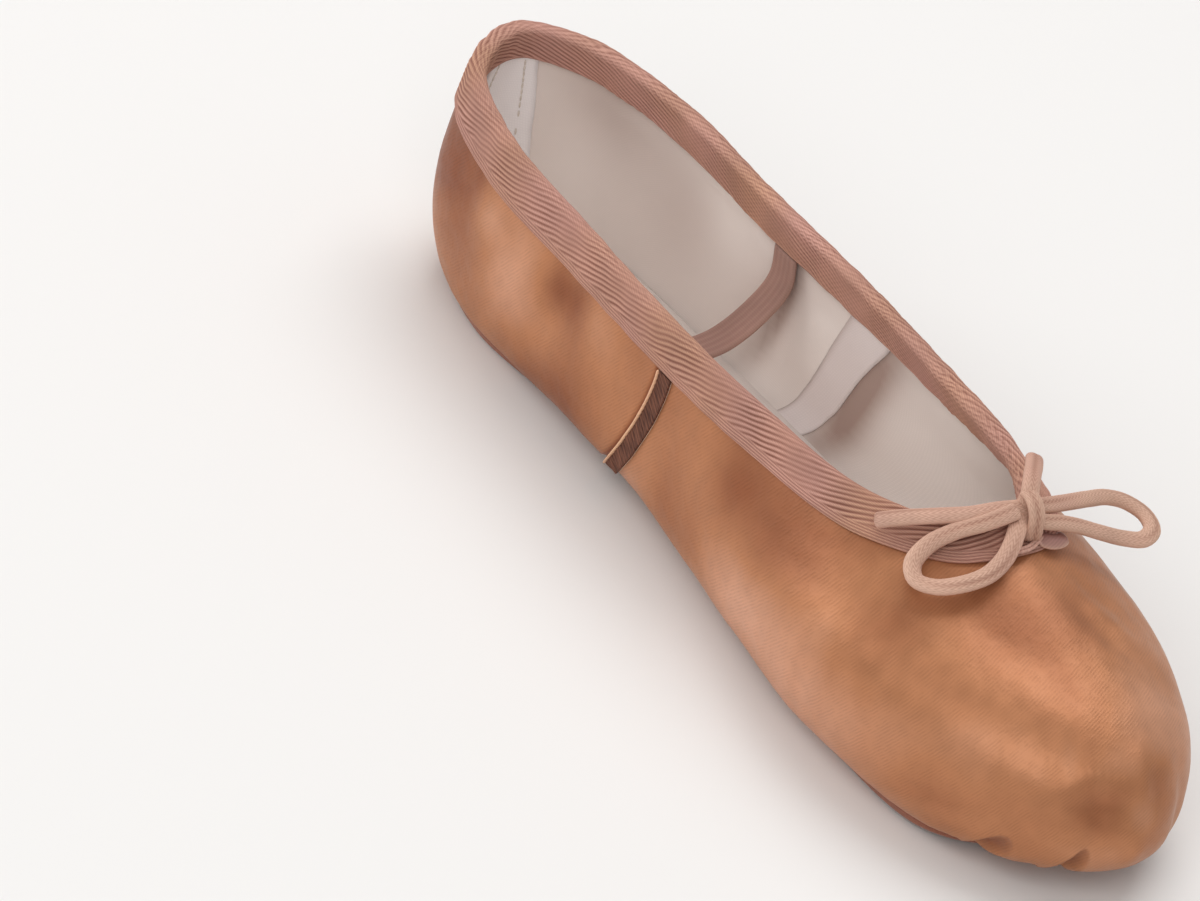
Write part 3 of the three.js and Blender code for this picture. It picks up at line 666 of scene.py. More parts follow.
def braid_tone(along, turn):
    """The tone of a braided cord: soft strands, pale folded edges, and painted shade in the grooves between
    the strands and in the flattened channels.
    """
    edges = np.abs(np.cos(turn)) ** 5
    return 0.25 + 0.3 * braid(along, turn) + 0.5 * edges + 4 * flattened(along, turn) / MM


def bar_ends(loops):
    """A grid of loops with its two ends closed onto their middles."""
    ends = [np.broadcast_to(loop.mean(0), loop.shape) for loop in (loops[0], loops[-1])]
    return np.concatenate([ends[:1], loops, ends[1:]], 0)


def add(tree, kind, inputs=None, **settings):
    """Adds a shader node with its settings. Each input is a value, or a socket to link from."""
    node = tree.nodes.new("ShaderNode" + kind)
    for name, value in settings.items():
        setattr(node, name, value)
    for socket, value in (inputs or {}).items():
        if isinstance(value, bpy.types.NodeSocket):
            tree.links.new(value, node.inputs[socket])
        else:
            node.inputs[socket].default_value = value
    return node


def new_material(name, **surface):
    """A material with one Principled shader, whose constants are set on its own sockets."""
    material = bpy.data.materials.new(name)
    material.use_nodes = True
    tree = material.node_tree
    tree.nodes.clear()
    shader = add(tree, "BsdfPrincipled", {key.replace("_", " "): value for key, value in surface.items()})
    out = add(tree, "OutputMaterial")
    tree.links.new(shader.outputs[0], out.inputs[0])
    return material, tree, shader


# A Wave texture has one band in this length at a scale of 1.
BAND = 2 * math.pi / 20
COLOUR_A, COLOUR_B, MIXED = 6, 7, 2


def satin_cloth(name, base, light, deep):
    """Polyester satin in a fine twill: a broad soft gloss, with short faint strokes across the shoe.

    The strokes are about 0.45 mm apart on the real cloth. They are drawn at 0.55 mm, so that they
    show. The mesh marks painted shade and painted highlights as "tone", mixed in as deep and light.
    """
    material, tree, shader = new_material(
        name, Metallic=0.35, Anisotropic=0.3, Specular_IOR_Level=0.28, Sheen_Weight=0.04,
        Sheen_Roughness=0.4, IOR=1.5
    )
    shader.inputs["Sheen Tint"].default_value = light
    place = add(tree, "TexCoord")
    slanted = add(tree, "Mapping", {
        "Vector": place.outputs["Object"], "Rotation": (0, math.radians(-38.6), math.radians(-26.1)),
    })
    twill = add(tree, "TexWave", {
        "Vector": slanted.outputs[0], "Scale": BAND / (0.55 * MM), "Distortion": 1.8,
        "Detail": 2.0, "Detail Scale": 1.1,
    })
    broken = add(tree, "TexNoise", {
        "Vector": place.outputs["Object"], "Scale": 1 / (1.6 * MM), "Detail": 2.0, "Roughness": 0.6,
    })
    shown = add(tree, "MapRange", {0: broken.outputs[0], 1: 0.35, 2: 0.62, 3: 0.15, 4: 1.0})
    strokes = add(tree, "Math", {0: twill.outputs["Fac"], 1: shown.outputs[0]}, operation="MULTIPLY")
    patches = add(tree, "TexNoise", {
        "Vector": place.outputs["Object"], "Scale": 1 / (30 * MM), "Detail": 2.0, "Roughness": 0.5,
        "Distortion": 0.6,
    })
    crumple = add(tree, "TexNoise", {
        "Vector": place.outputs["Object"], "Scale": 1 / (3.2 * MM), "Detail": 3.0, "Roughness": 0.5,
    })
    # tone from the mesh is painted light and shade; drift adds the cloth's own uneven colour in patches, and
    # nap is the two together.
    tone = add(tree, "Attribute", attribute_name="tone")
    drift = add(tree, "MapRange", {0: patches.outputs[0], 1: 0.3, 2: 0.7, 3: -0.35, 4: 0.35})
    nap = add(tree, "Math", {0: tone.outputs["Fac"], 1: drift.outputs[0]}, operation="ADD")
    dark = add(tree, "MapRange", {0: nap.outputs[0], 1: 0.0, 2: -1.0, 3: 0.0, 4: 1.0})
    bright = add(tree, "MapRange", {0: nap.outputs[0], 1: 0.0, 2: 1.0, 3: 0.0, 4: 1.0})
    body = add(tree, "Mix", {0: dark.outputs[0], COLOUR_A: base, COLOUR_B: deep}, data_type="RGBA")
    lit = add(tree, "Mix", {0: bright.outputs[0], COLOUR_A: body.outputs[MIXED], COLOUR_B: light},
              data_type="RGBA")
    line = add(tree, "MapRange", {0: strokes.outputs[0], 1: 0.0, 2: 1.0, 3: 1.03, 4: 0.87})
    speck = add(tree, "MapRange", {0: crumple.outputs[0], 1: 0.3, 2: 0.7, 3: 0.94, 4: 1.05})
    thread = add(tree, "Math", {0: line.outputs[0], 1: speck.outputs[0]}, operation="MULTIPLY")
    woven = add(tree, "Mix", {0: 1.0, COLOUR_A: lit.outputs[MIXED], COLOUR_B: thread.outputs[0]},
                data_type="RGBA", blend_type="MULTIPLY")
    tree.links.new(woven.outputs[MIXED], shader.inputs["Base Color"])
    rough = add(tree, "MapRange", {0: crumple.outputs[0], 1: 0.3, 2: 0.7, 3: 0.37, 4: 0.47})
    tree.links.new(rough.outputs[0], shader.inputs["Roughness"])
    soft = add(tree, "Bump", {"Height": crumple.outputs[0], "Strength": 0.3, "Distance": 0.3 * MM})
    fine = add(tree, "Bump", {
        "Height": strokes.outputs[0], "Strength": 0.25, "Distance": 0.05 * MM, "Normal": soft.outputs[0],
    })
    tree.links.new(fine.outputs[0], shader.inputs["Normal"])
    return material


def cotton_cloth(name, light, shade, spacing):
    """Plain woven cotton: matt and pale, with an even over-and-under weave."""
    material, tree, shader = new_material(name, Roughness=0.92, Specular_IOR_Level=0.2, Sheen_Weight=0.2)
    cloth = add(tree, "UVMap", uv_map="cloth")
    threads = [
        add(tree, "TexWave", {"Vector": cloth.outputs[0], "Scale": BAND / spacing, "Distortion": 0.8,
                              "Detail": 1.0}, bands_direction=way)
        for way in ("X", "Y")
    ]
    weave = add(tree, "Math", {0: threads[0].outputs["Fac"], 1: threads[1].outputs["Fac"]},
                operation="MULTIPLY")
    place = add(tree, "TexCoord")
    patches = add(tree, "TexNoise", {
        "Vector": place.outputs["Object"], "Scale": 1 / (45 * MM), "Detail": 1.0,
    })
    patch = add(tree, "MapRange", {0: patches.outputs[0], 1: 0.3, 2: 0.7, 3: 0.68, 4: 1.0})
    # tone from the mesh is painted shade and light; nap adds it to the cloth's own uneven patches.
    tone = add(tree, "Attribute", attribute_name="tone")
    nap = add(tree, "Math", {0: patch.outputs[0], 1: tone.outputs["Fac"]}, operation="ADD", use_clamp=True)
    patches_and_painted_shade = add(tree, "Mix", {0: nap.outputs[0], COLOUR_A: shade, COLOUR_B: light}, data_type="RGBA")
    hollow = add(tree, "MapRange", {0: weave.outputs[0], 1: 0.0, 2: 0.6, 3: 0.97, 4: 1.01})
    woven = add(tree, "Mix", {0: 1.0, COLOUR_A: patches_and_painted_shade.outputs[MIXED], COLOUR_B: hollow.outputs[0]},
                data_type="RGBA", blend_type="MULTIPLY")
    tree.links.new(woven.outputs[MIXED], shader.inputs["Base Color"])
    bump = add(tree, "Bump", {"Height": weave.outputs[0], "Strength": 0.25, "Distance": 0.05 * MM})
    tree.links.new(bump.outputs[0], shader.inputs["Normal"])
    return material


def ribbed_cloth(name, rib, other, groove, thread, angle, contrast):
    """Woven tape, elastic or braid: the ribs are in the mesh, which marks them as "rib".

    The ribs drift to another colour in patches. The grooves are darker, a painted shade, and fine
    threads cross the ribs at an angle, lighter and darker by the contrast.
    """
    material, tree, shader = new_material(
        name, Roughness=0.8, Specular_IOR_Level=0.3, Sheen_Weight=0.25, Sheen_Roughness=0.5
    )
    shader.inputs["Sheen Tint"].default_value = rib
    mark = add(tree, "Attribute", attribute_name="rib")
    cloth = add(tree, "UVMap", uv_map="cloth")
    turned = add(tree, "Mapping", {"Vector": cloth.outputs[0], "Rotation": (0, 0, angle)})
    threads = add(tree, "TexWave", {
        "Vector": turned.outputs[0], "Scale": BAND / thread, "Distortion": 1.5, "Detail": 1.0,
    })
    place = add(tree, "TexCoord")
    patches = add(tree, "TexNoise", {"Vector": place.outputs["Object"], "Scale": 1 / (9 * MM), "Detail": 3.0})
    areas = add(tree, "TexNoise", {"Vector": place.outputs["Object"], "Scale": 1 / (24 * MM), "Detail": 1.0})
    drift = add(tree, "MapRange", {0: areas.outputs[0], 1: 0.35, 2: 0.65})
    ribs = add(tree, "Mix", {0: drift.outputs[0], COLOUR_A: rib, COLOUR_B: other}, data_type="RGBA")
    # Between the ribs the colour goes towards groove, a painted shade.
    height = add(tree, "MapRange", {0: mark.outputs["Fac"], 1: -0.8, 2: 0.6})
    body = add(tree, "Mix", {0: height.outputs[0], COLOUR_A: groove, COLOUR_B: ribs.outputs[MIXED]},
               data_type="RGBA")
    uneven = add(tree, "MapRange", {0: patches.outputs[0], 1: 0.3, 2: 0.7, 3: 0.9, 4: 1.08})
    line = add(tree, "MapRange", {0: threads.outputs["Fac"], 3: 1 - contrast, 4: 1 + contrast / 2})
    shade = add(tree, "Math", {0: uneven.outputs[0], 1: line.outputs[0]}, operation="MULTIPLY")
    woven = add(tree, "Mix", {0: 1.0, COLOUR_A: body.outputs[MIXED], COLOUR_B: shade.outputs[0]},
                data_type="RGBA", blend_type="MULTIPLY")
    tree.links.new(woven.outputs[MIXED], shader.inputs["Base Color"])
    bump = add(tree, "Bump", {
        "Height": threads.outputs["Fac"], "Strength": 3 * contrast, "Distance": 0.1 * MM,
    })
    tree.links.new(bump.outputs[0], shader.inputs["Normal"])
    return material


def suede_leather(colours):
    """Split suede leather: a dull nap with a fine grain, worn darker in patches and at the edge."""
    material, tree, shader = new_material(
        "suede_leather", Roughness=0.93, Specular_IOR_Level=0.22, Sheen_Weight=0.3, Sheen_Roughness=0.6
    )
    place = add(tree, "TexCoord")
    nap = add(tree, "TexNoise", {"Vector": place.outputs["Object"], "Scale": 1 / (0.7 * MM), "Detail": 4.0,
                                 "Roughness": 0.65})
    wear = add(tree, "TexNoise", {"Vector": place.outputs["Object"], "Scale": 1 / (16 * MM), "Detail": 4.0})
    edge = add(tree, "Attribute", attribute_name="rib")
    patch = add(tree, "MapRange", {0: wear.outputs[0], 1: 0.4, 2: 0.7, 3: 0.0, 4: 0.45})
    dark = add(tree, "Math", {0: patch.outputs[0], 1: edge.outputs["Fac"]}, operation="MAXIMUM")
    hide = add(tree, "Mix", {0: dark.outputs[0], COLOUR_A: colours.leather, COLOUR_B: colours.leather_deep},
               data_type="RGBA")
    fibre = add(tree, "MapRange", {0: nap.outputs[0], 1: 0.3, 2: 0.7, 3: 0.88, 4: 1.1})
    napped = add(tree, "Mix", {0: 1.0, COLOUR_A: hide.outputs[MIXED], COLOUR_B: fibre.outputs[0]},
                 data_type="RGBA", blend_type="MULTIPLY")
    tree.links.new(napped.outputs[MIXED], shader.inputs["Base Color"])
    bump = add(tree, "Bump", {"Height": nap.outputs[0], "Strength": 0.6, "Distance": 0.2 * MM})
    tree.links.new(bump.outputs[0], shader.inputs["Normal"])
    return material


def twisted_thread(name, tint):
    """Waxed cotton thread: matt, with the slant of its twist."""
    material, tree, shader = new_material(name, Roughness=0.75, Specular_IOR_Level=0.3)
    place = add(tree, "TexCoord")
    twist = add(tree, "TexNoise", {"Vector": place.outputs["Object"], "Scale": 1 / (0.4 * MM), "Detail": 2.0})
    shade = add(tree, "MapRange", {0: twist.outputs[0], 1: 0.3, 2: 0.7, 3: 0.8, 4: 1.05})
    spun = add(tree, "Mix", {0: 1.0, COLOUR_A: tint, COLOUR_B: shade.outputs[0]},
               data_type="RGBA", blend_type="MULTIPLY")
    tree.links.new(spun.outputs[MIXED], shader.inputs["Base Color"])
    bump = add(tree, "Bump", {"Height": twist.outputs[0], "Strength": 0.4, "Distance": 0.1 * MM})
    tree.links.new(bump.outputs[0], shader.inputs["Normal"])
    return material


def strip_on(last, centres, rows, width, heights, columns, side):
    """Points of a flat strip on the wall: centres are its t at each q of rows, heights its two faces.

    side is 1 on the left side of the shoe and -1 on the right.
    """
    share = np.linspace(-1, 1, columns)
    t = centres[:, None] + share * (width / 2 / section_length(last, centres, rows))[:, None]
    q = np.broadcast_to(rows[:, None], t.shape)
    place = t if side > 0 else ROUND - t
    low, high = (on_cloth(last, place, q, h) for h in heights)
    return np.concatenate([low, high[:, ::-1]], 1)


class SatinUpper(bpy.types.Operator):
    """Makes the satin of quarter and vamp, with its creases and the gathers at the toe"""

    bl_idname = "slipper.satin_upper"
    bl_label = "Satin upper"

    def execute(self, context):
        sizes, colours = context.scene.slipper_sizes, context.scene.slipper_colours
        last = Last(sizes)
        t = stations(52, 70, 120)
        top = last.below_rim(t, [sizes.casing_round + sizes.seat_gap])
        low = np.concatenate([[-1, -0.6, -0.2], np.linspace(0, WIDEST, 34, endpoint=False)])
        high = mix(WIDEST, top, np.linspace(0, 1, 44))
        outer = np.hstack([np.broadcast_to(low, (len(t), len(low))), high])
        q = np.hstack([outer, outer[:, ::-3]])
        at = np.broadcast_to(t[:, None], q.shape)
        face = last.face(at, q)
        under = np.where(np.arange(q.shape[1]) < outer.shape[1], 0, sizes.satin_thickness)
        groove = seam_groove(last, face)
        points = on_cloth(last, at, q, -under - GROOVE_DEPTH * groove)
        # Painted shade in the grooves beside the side seams and in the pockets of the toe gathers, on top of
        # the painted light and shade of the table.
        tone = painted_light_and_shade(last, face, SATIN_LIGHT_AND_SHADE) - 1.6 * groove - 1.2 * gathered(at, q)
        satin = skin("satin_upper", points, (True, True), {"tone": tone}, last.unrolled(t, q))
        fitted(satin, satin_cloth("satin", colours.satin, colours.satin_painted_highlight, colours.satin_painted_shade),
               "satin", "upper")
        return {"FINISHED"}


class InnerLining(bpy.types.Operator):
    """Makes the cotton lining, its seam tapes and the sock"""

    bl_idname = "slipper.inner_lining"
    bl_label = "Inner lining"

    def execute(self, context):
        sizes, colours = context.scene.slipper_sizes, context.scene.slipper_colours
        last = Last(sizes)
        cotton = cotton_cloth("cotton_lining", colours.cotton, colours.cotton_shade, 0.45 * MM)
        t = stations(40, 30, 60)
        top = last.below_rim(t, [sizes.casing_round + sizes.seat_gap])
        inner = np.hstack([np.broadcast_to([-1, -0.5], (len(t), 2)), mix(0, top, np.linspace(0, 1, 46))])
        q = np.hstack([inner[:, ::-2], inner])
        at = np.broadcast_to(t[:, None], q.shape)
        face = last.face(at, q)
        outward = np.arange(q.shape[1]) < q.shape[1] - inner.shape[1]
        under = np.where(outward, sizes.satin_thickness + 0.1 * MM, sizes.upper_wall)
        points = on_cloth(last, at, q, -under - GROOVE_DEPTH * outward * seam_groove(last, face))
        tone = painted_light_and_shade(last, face, LINING_LIGHT_AND_SHADE) + streaks(last, face, LINING_STREAKS)
        fitted(skin("lining", points, (True, True), {"tone": tone}, last.unrolled(t, q)), cotton, "sock")

        self.tapes(last, sizes, colours)
        self.sock(last, sizes, colours)
        return {"FINISHED"}

    def tapes(self, last, sizes, colours):
        """Tape down the back seam, and the flap of each side seam."""
        tape = cotton_cloth("cotton_seam_tape", colours.tape_white, colours.cotton_shade, 0.6 * MM)
        flap = cotton_cloth("cotton_seam_flap", colours.flap, colours.cotton_shade, 0.6 * MM)
        thread = twisted_thread("seam_thread", colours.thread)
        face = -sizes.upper_wall - 0.1 * MM
        # edge darkens one long side of each tape and flap: a painted shade line along the cloth's edge.
        edge = -0.45 * smooth(1 - np.arange(FLAP_COLUMNS) / 1.5)
        for name, side, path, cloth in (
            ("back_seam_tape", 1, BACK_TAPE, tape),
            ("seam_flap_left", 1, SEAM_FLAP, flap),
            ("seam_flap_right", -1, SEAM_FLAP, flap),
        ):
            rows, centres, wide = open_curve(path, 60).T
            top = last.below_rim(centres[-1:], [sizes.binding_inner_width - 1.5 * MM])[0, 0]
            kept = rows < top
            centres, rows, wide = centres[kept], rows[kept], wide[kept] * MM
            loops = strip_on(last, centres, rows, wide, (face, face - 0.25 * MM), FLAP_COLUMNS, side)
            marks = np.tile(np.concatenate([edge, edge[::-1]]), (len(rows) + 2, 1))
            fitted(skin(name, bar_ends(loops), (False, True), {"tone": marks}), cloth, "sock")
        top = last.below_rim(np.array([0.0]), [sizes.binding_inner_width + 1.5 * MM])[0, 0]
        rows = np.linspace(0.14, top, 15)
        wide = np.interp(rows, *np.array(BACK_TAPE).T[::2]) * MM
        stitches = []
        for side in (-1, 1):
            at = side * (wide / 2 - 2.3 * MM) / section_length(last, 0.3, rows)
            place = on_cloth(last, at[:, None], rows[:, None], face - 0.35 * MM)[:, 0]
            way = unit(np.gradient(place, axis=0))
            stitches.append(stitch_row(place, way, last.normal(at, rows), 1.6 * MM, 0.45 * MM))
        fitted(joined("back_seam_stitches", stitches), thread, None)

    def sock(self, last, sizes, colours):
        """The covered insole, a little up the wall all round."""
        cloth = cotton_cloth("cotton_sock", colours.cotton, colours.cotton_shade, 0.5 * MM)
        t = stations(34, 20, 40)
        under = -sizes.upper_wall - sizes.seat_gap
        edge = mix(-0.9, last.column("sock", t)[:, None], np.linspace(0, 1, 14))
        faces = []
        for height in (under, under - sizes.sock_thickness):
            ring = last.on(t[:, None], edge, np.full(edge.shape, height))
            middle = ring[:, :1] * (1, 0, 1)
            spread = mix(middle, ring[:, :1], np.linspace(0, 1, 16, endpoint=False)[None, :, None])
            faces.append(np.hstack([spread, ring]))
        grid = np.hstack([faces[0], faces[1][:, ::-1]])
        fitted(skin("insole_sock", grid, (True, False)), cloth, "sock", "insole")


def stitch_row(places, ways, outs, long, thick):
    """Verts and faces of a row of stitches: one rounded stitch, copied to each place."""
    bpy.ops.object.select_all(action="DESELECT")
    bpy.ops.mesh.primitive_uv_sphere_add(segments=8, ring_count=6, radius=0.5)
    model = bpy.context.object
    shape = np.array([v.co for v in model.data.vertices]) * (thick, long, thick * 0.8)
    faces = [list(p.vertices) for p in model.data.polygons]
    bpy.data.objects.remove(model)
    verts, polygons = [], []
    for place, way, out in zip(places, ways, outs):
        side = np.cross(way, out)
        turn = np.stack([unit(side), way, unit(np.cross(side, way))], -1)
        polygons += [[i + len(verts) * len(shape) for i in face] for face in faces]
        verts.append(place + shape @ turn.T)
    return np.concatenate(verts), polygons


def joined(name, parts):
    """One piece from several lists of verts and faces."""
    verts, faces, count = [], [], 0
    for points, polygons in parts:
        faces += [[i + count for i in face] for face in polygons]
        verts.append(points)
        count += len(points)
    mesh = bpy.data.meshes.new(name)
    mesh.from_pydata(np.concatenate(verts).tolist(), [], faces)
    work = bmesh.new()
    work.from_mesh(mesh)
    bmesh.ops.recalc_face_normals(work, faces=work.faces)
    work.to_mesh(mesh)
    work.free()
    return placed(name, mesh)


class SideSeams(bpy.types.Operator):
    """Makes the ribbed strip and the folded satin edge of each side seam"""

    bl_idname = "slipper.side_seams"
    bl_label = "Side seams"

    def execute(self, context):
        sizes, colours = context.scene.slipper_sizes, context.scene.slipper_colours
        last = Last(sizes)
        strip = ribbed_cloth("seam_strip_grosgrain", colours.seam, colours.seam, colours.seam_groove,
                             0.6 * MM, 0.6, 0.25)
        # The folded edge is satin drawn in a pale painted highlight colour.
        fold = satin_cloth("satin_folded_edge", colours.satin_fold_highlight, colours.satin_fold_highlight, colours.satin_painted_highlight)
        steps, columns = 160, 16
        centres, rows = seam_line(last, steps, 0)
        for side, name in ((1, "left"), (-1, "right")):
            heights = (0.1 * MM, 0.55 * MM)
            loops = strip_on(last, centres, rows, sizes.seam_strip_width, heights, columns, side)
            across = np.concatenate([np.linspace(-1, 1, columns), np.linspace(1, -1, columns)])
            along = travelled(loops[:, 0])[:, None]
            rib = np.cos(2 * math.pi * (along + across * 1.1 * MM) / (1.1 * MM))
            rib = rib * (0.45 + 0.55 * rippled(loops, 1.8 * MM, 9)) + 0.35 * rippled(loops, 4 * MM, 8)
            out = unit(loops[:, columns:].mean(1) - loops[:, :columns].mean(1))[:, None]
            outer = (np.arange(2 * columns) >= columns)[None, :, None]
            loops = loops + out * outer * (rib * 0.12 * MM)[..., None]
            marks = np.concatenate([rib[:1], rib, rib[-1:]], 0)
            piece = skin(f"side_strip_{name}", bar_ends(loops), (False, True), {"rib": marks})
            fitted(piece, strip, "seam_tape", f"seam_strip_{name}")
            # The quarter's fold takes its painted highlight colour; the vamp's edge gets a tone of -0.9, a
            # painted shade line along it.
            for edge, aside, wide, deep, height, tone, cloth in (
                ("quarter_fold", -0.5, 0.6, 1.1, 0.42, 0, fold),
                ("vamp_edge", 0.35, 0.9, 0.5, -0.22, -0.9, bpy.data.materials["satin"]),
            ):
                way = math.copysign(1, aside)
                t, q = seam_line(last, steps, way * sizes.seam_strip_width / 2 + (aside - way * 0.5) * MM)
                place = t if side > 0 else ROUND - t
                line = on_cloth(last, place[:, None], q[:, None], height * MM)[:, 0]
                grid = tube(line, wide * MM, deep * MM, last.normal(place, q), 14, 0.6 * MM)
                marks = {"tone": np.full(grid.shape[:2], tone)}
                fitted(skin(f"{edge}_{name}", grid, (False, True), marks), cloth, "satin")
        return {"FINISHED"}


class SuedeSole(bpy.types.Operator):
    """Makes the suede outsole with its stitched, turned edge"""

    bl_idname = "slipper.suede_sole"
    bl_label = "Suede sole"

    def execute(self, context):
        sizes, colours = context.scene.slipper_sizes, context.scene.slipper_colours
        last = Last(sizes)
        t = stations(60, 20, 60)
        edge, out = last.edge(t)
        inset = np.concatenate([np.linspace(0.5, 8, 31), np.linspace(9, 12, 4)]) * MM
        thick = sizes.sole_thickness
        turn = np.linspace(0, math.pi / 2, 6)
        round_in = 0.6 * MM * (1 - np.cos(turn))[::-1]
        round_up = 0.6 * MM * (1 - np.sin(turn))[::-1]
        profile = np.concatenate([
            np.stack([inset[::-1], self.groove(inset[::-1], sizes)], -1),
            np.stack([round_in, round_up], -1),
            np.stack([round_in[::-1], thick - round_up[::-1]], -1),
            np.stack([inset, np.full(len(inset), thick)], -1),
        ])
        points = edge[:, None] - out[:, None] * profile[None, :, :1]
        points[..., 2] = profile[:, 1] + last.lift(points[..., 0])
        middle_low, middle_top = points[:, :1] * (1, 0, 1), points[:, -1:] * (1, 0, 1)
        fill = np.linspace(0, 1, 8, endpoint=False)[None, :, None]
        grid = np.hstack([mix(middle_low, points[:, :1], fill), points,
                          mix(points[:, -1:], middle_top, (fill + 1 / 8))])
        near = np.concatenate([np.full(8, 1.0), profile[:, 0], np.full(8, 1.0)])
        dark = np.broadcast_to(1 - smooth((near - 3.2 * MM) / (3 * MM)), grid.shape[:2]) * 0.75
        sole = skin("suede_outsole", grid, (True, False), {"rib": dark})
        fitted(sole, suede_leather(colours), "sole_leather", "outsole")

        ring = np.append(np.linspace(0, ROUND, 1200), ROUND)
        edge, out = last.edge(ring)
        line = edge - out * sizes.stitch_inset
        line[:, 2] = last.lift(line[:, 0]) + 0.15 * MM
        path = evenly(line, sizes.stitch_pitch)[:-1]
        way = unit(np.roll(path, -1, 0) - np.roll(path, 1, 0))
        down = np.broadcast_to([0, 0, -1.0], path.shape)
        row = stitch_row(path, way, down, sizes.stitch_length, 0.75 * MM)
        fitted(joined("sole_stitches", [row]), twisted_thread("sole_thread", colours.thread), None)
        return {"FINISHED"}

    @staticmethod
    def groove(inset, sizes):
        """Height of the sole's underside: a channel where the stitches pull it in."""
        return 0.45 * MM * np.exp(-((inset - sizes.stitch_inset) / (0.9 * MM)) ** 2)


class TapeBinding(bpy.types.Operator):
    """Makes the herringbone tape folded over the collar"""

    bl_idname = "slipper.tape_binding"
    bl_label = "Tape binding"

    def execute(self, context):
        sizes, colours = context.scene.slipper_sizes, context.scene.slipper_colours
        last = Last(sizes)
        t = np.linspace(0, ROUND, 600, endpoint=False)
        outside = sizes.seat_gap + sizes.binding_thickness
        inside = -sizes.upper_wall - sizes.seat_gap - sizes.binding_thickness
        middle, fold = (outside + inside) / 2, (outside - inside) / 2
        turn = np.linspace(0, math.pi, 13)[1:-1]
        faces = (
            (np.linspace(sizes.binding_width, sizes.casing_round, 72), outside),
            (sizes.casing_round * (1 - np.sin(turn)), middle + fold * np.cos(turn)),
            (np.linspace(sizes.casing_round, sizes.binding_inner_width, 72), inside),
            (np.linspace(sizes.binding_inner_width, sizes.casing_round, 3), inside + sizes.binding_thickness),
            (np.linspace(sizes.casing_round, sizes.binding_width, 3), outside - sizes.binding_thickness),
        )
        down = np.concatenate([far for far, _ in faces])
        high = np.concatenate([np.broadcast_to(height, far.shape) for far, height in faces])
        seen = np.arange(len(down)) < 144 + len(turn)
        q = last.below_rim(t, down)
        at = np.broadcast_to(t[:, None], q.shape)
        face = last.face(at, q)
        rim = travelled(np.vstack([last.face(t, 1.0), last.face(t[:1], 1.0)]))[:-1, None]
        walk = travelled(np.stack([down, high], -1))
        spine = walk[72 + len(turn) // 2]
        inner = smooth((walk - spine) / (0.6 * MM) + 0.5)
        wobble = 0.30 * rippled(face, 20 * MM, 8) + 0.10 * rippled(face, 6 * MM, 9)
        waves = []
        for slope, pitch in ((15, sizes.rib_pitch), (-17, 0.88 * sizes.rib_pitch)):
            tilt = math.radians(slope)
            phase = (rim * math.sin(tilt) + (walk - spine) * math.cos(tilt)) / pitch + wobble
            waves.append(np.cos(2 * math.pi * phase))
        ribs = mix(*waves, inner)
        lines = np.cos(2 * math.pi * (walk / (0.62 * MM) + 0.5 * wobble))
        strength = np.clip(0.75 + 0.4 * rippled(face, 16 * MM, 12), 0.35, 1)
        low_band = smooth((down - 6.8 * MM - 0.5 * MM * rippled(face, 30 * MM, 13)) / (0.9 * MM))
        rib = np.where(seen, mix(ribs * strength, 0.1 + 0.5 * lines, low_band), 0)
        throat = np.exp(-(((at - TOE) / 0.9) ** 2))
        pucker = (0.14 * rippled(face, 22 * MM, 4) + (0.12 + 0.12 * throat) * rippled(face, 6 * MM, 3)) * MM
        tuck = smooth((sizes.binding_width - down) / (0.7 * MM))
        outward = np.where(high > middle, 1, -1) * seen
        height = high + outward * (rib * 0.13 * MM + pucker - (1 - tuck) * 0.3 * MM)
        points = face + last.normal(at, q) * height[..., None]
        # The ribs' colour mark is raised by 0.3 on the inner half, which draws the inside of the collar
        # lighter: painted light.
        tape = skin("binding_tape", points, (True, True), {"rib": rib + 0.3 * inner})
        fitted(tape, ribbed_cloth("herringbone_tape", colours.tape, colours.tape_tan, colours.tape_groove,
                                  0.45 * MM, 1.2, 0.13), "binding_tape", "binding")
        return {"FINISHED"}


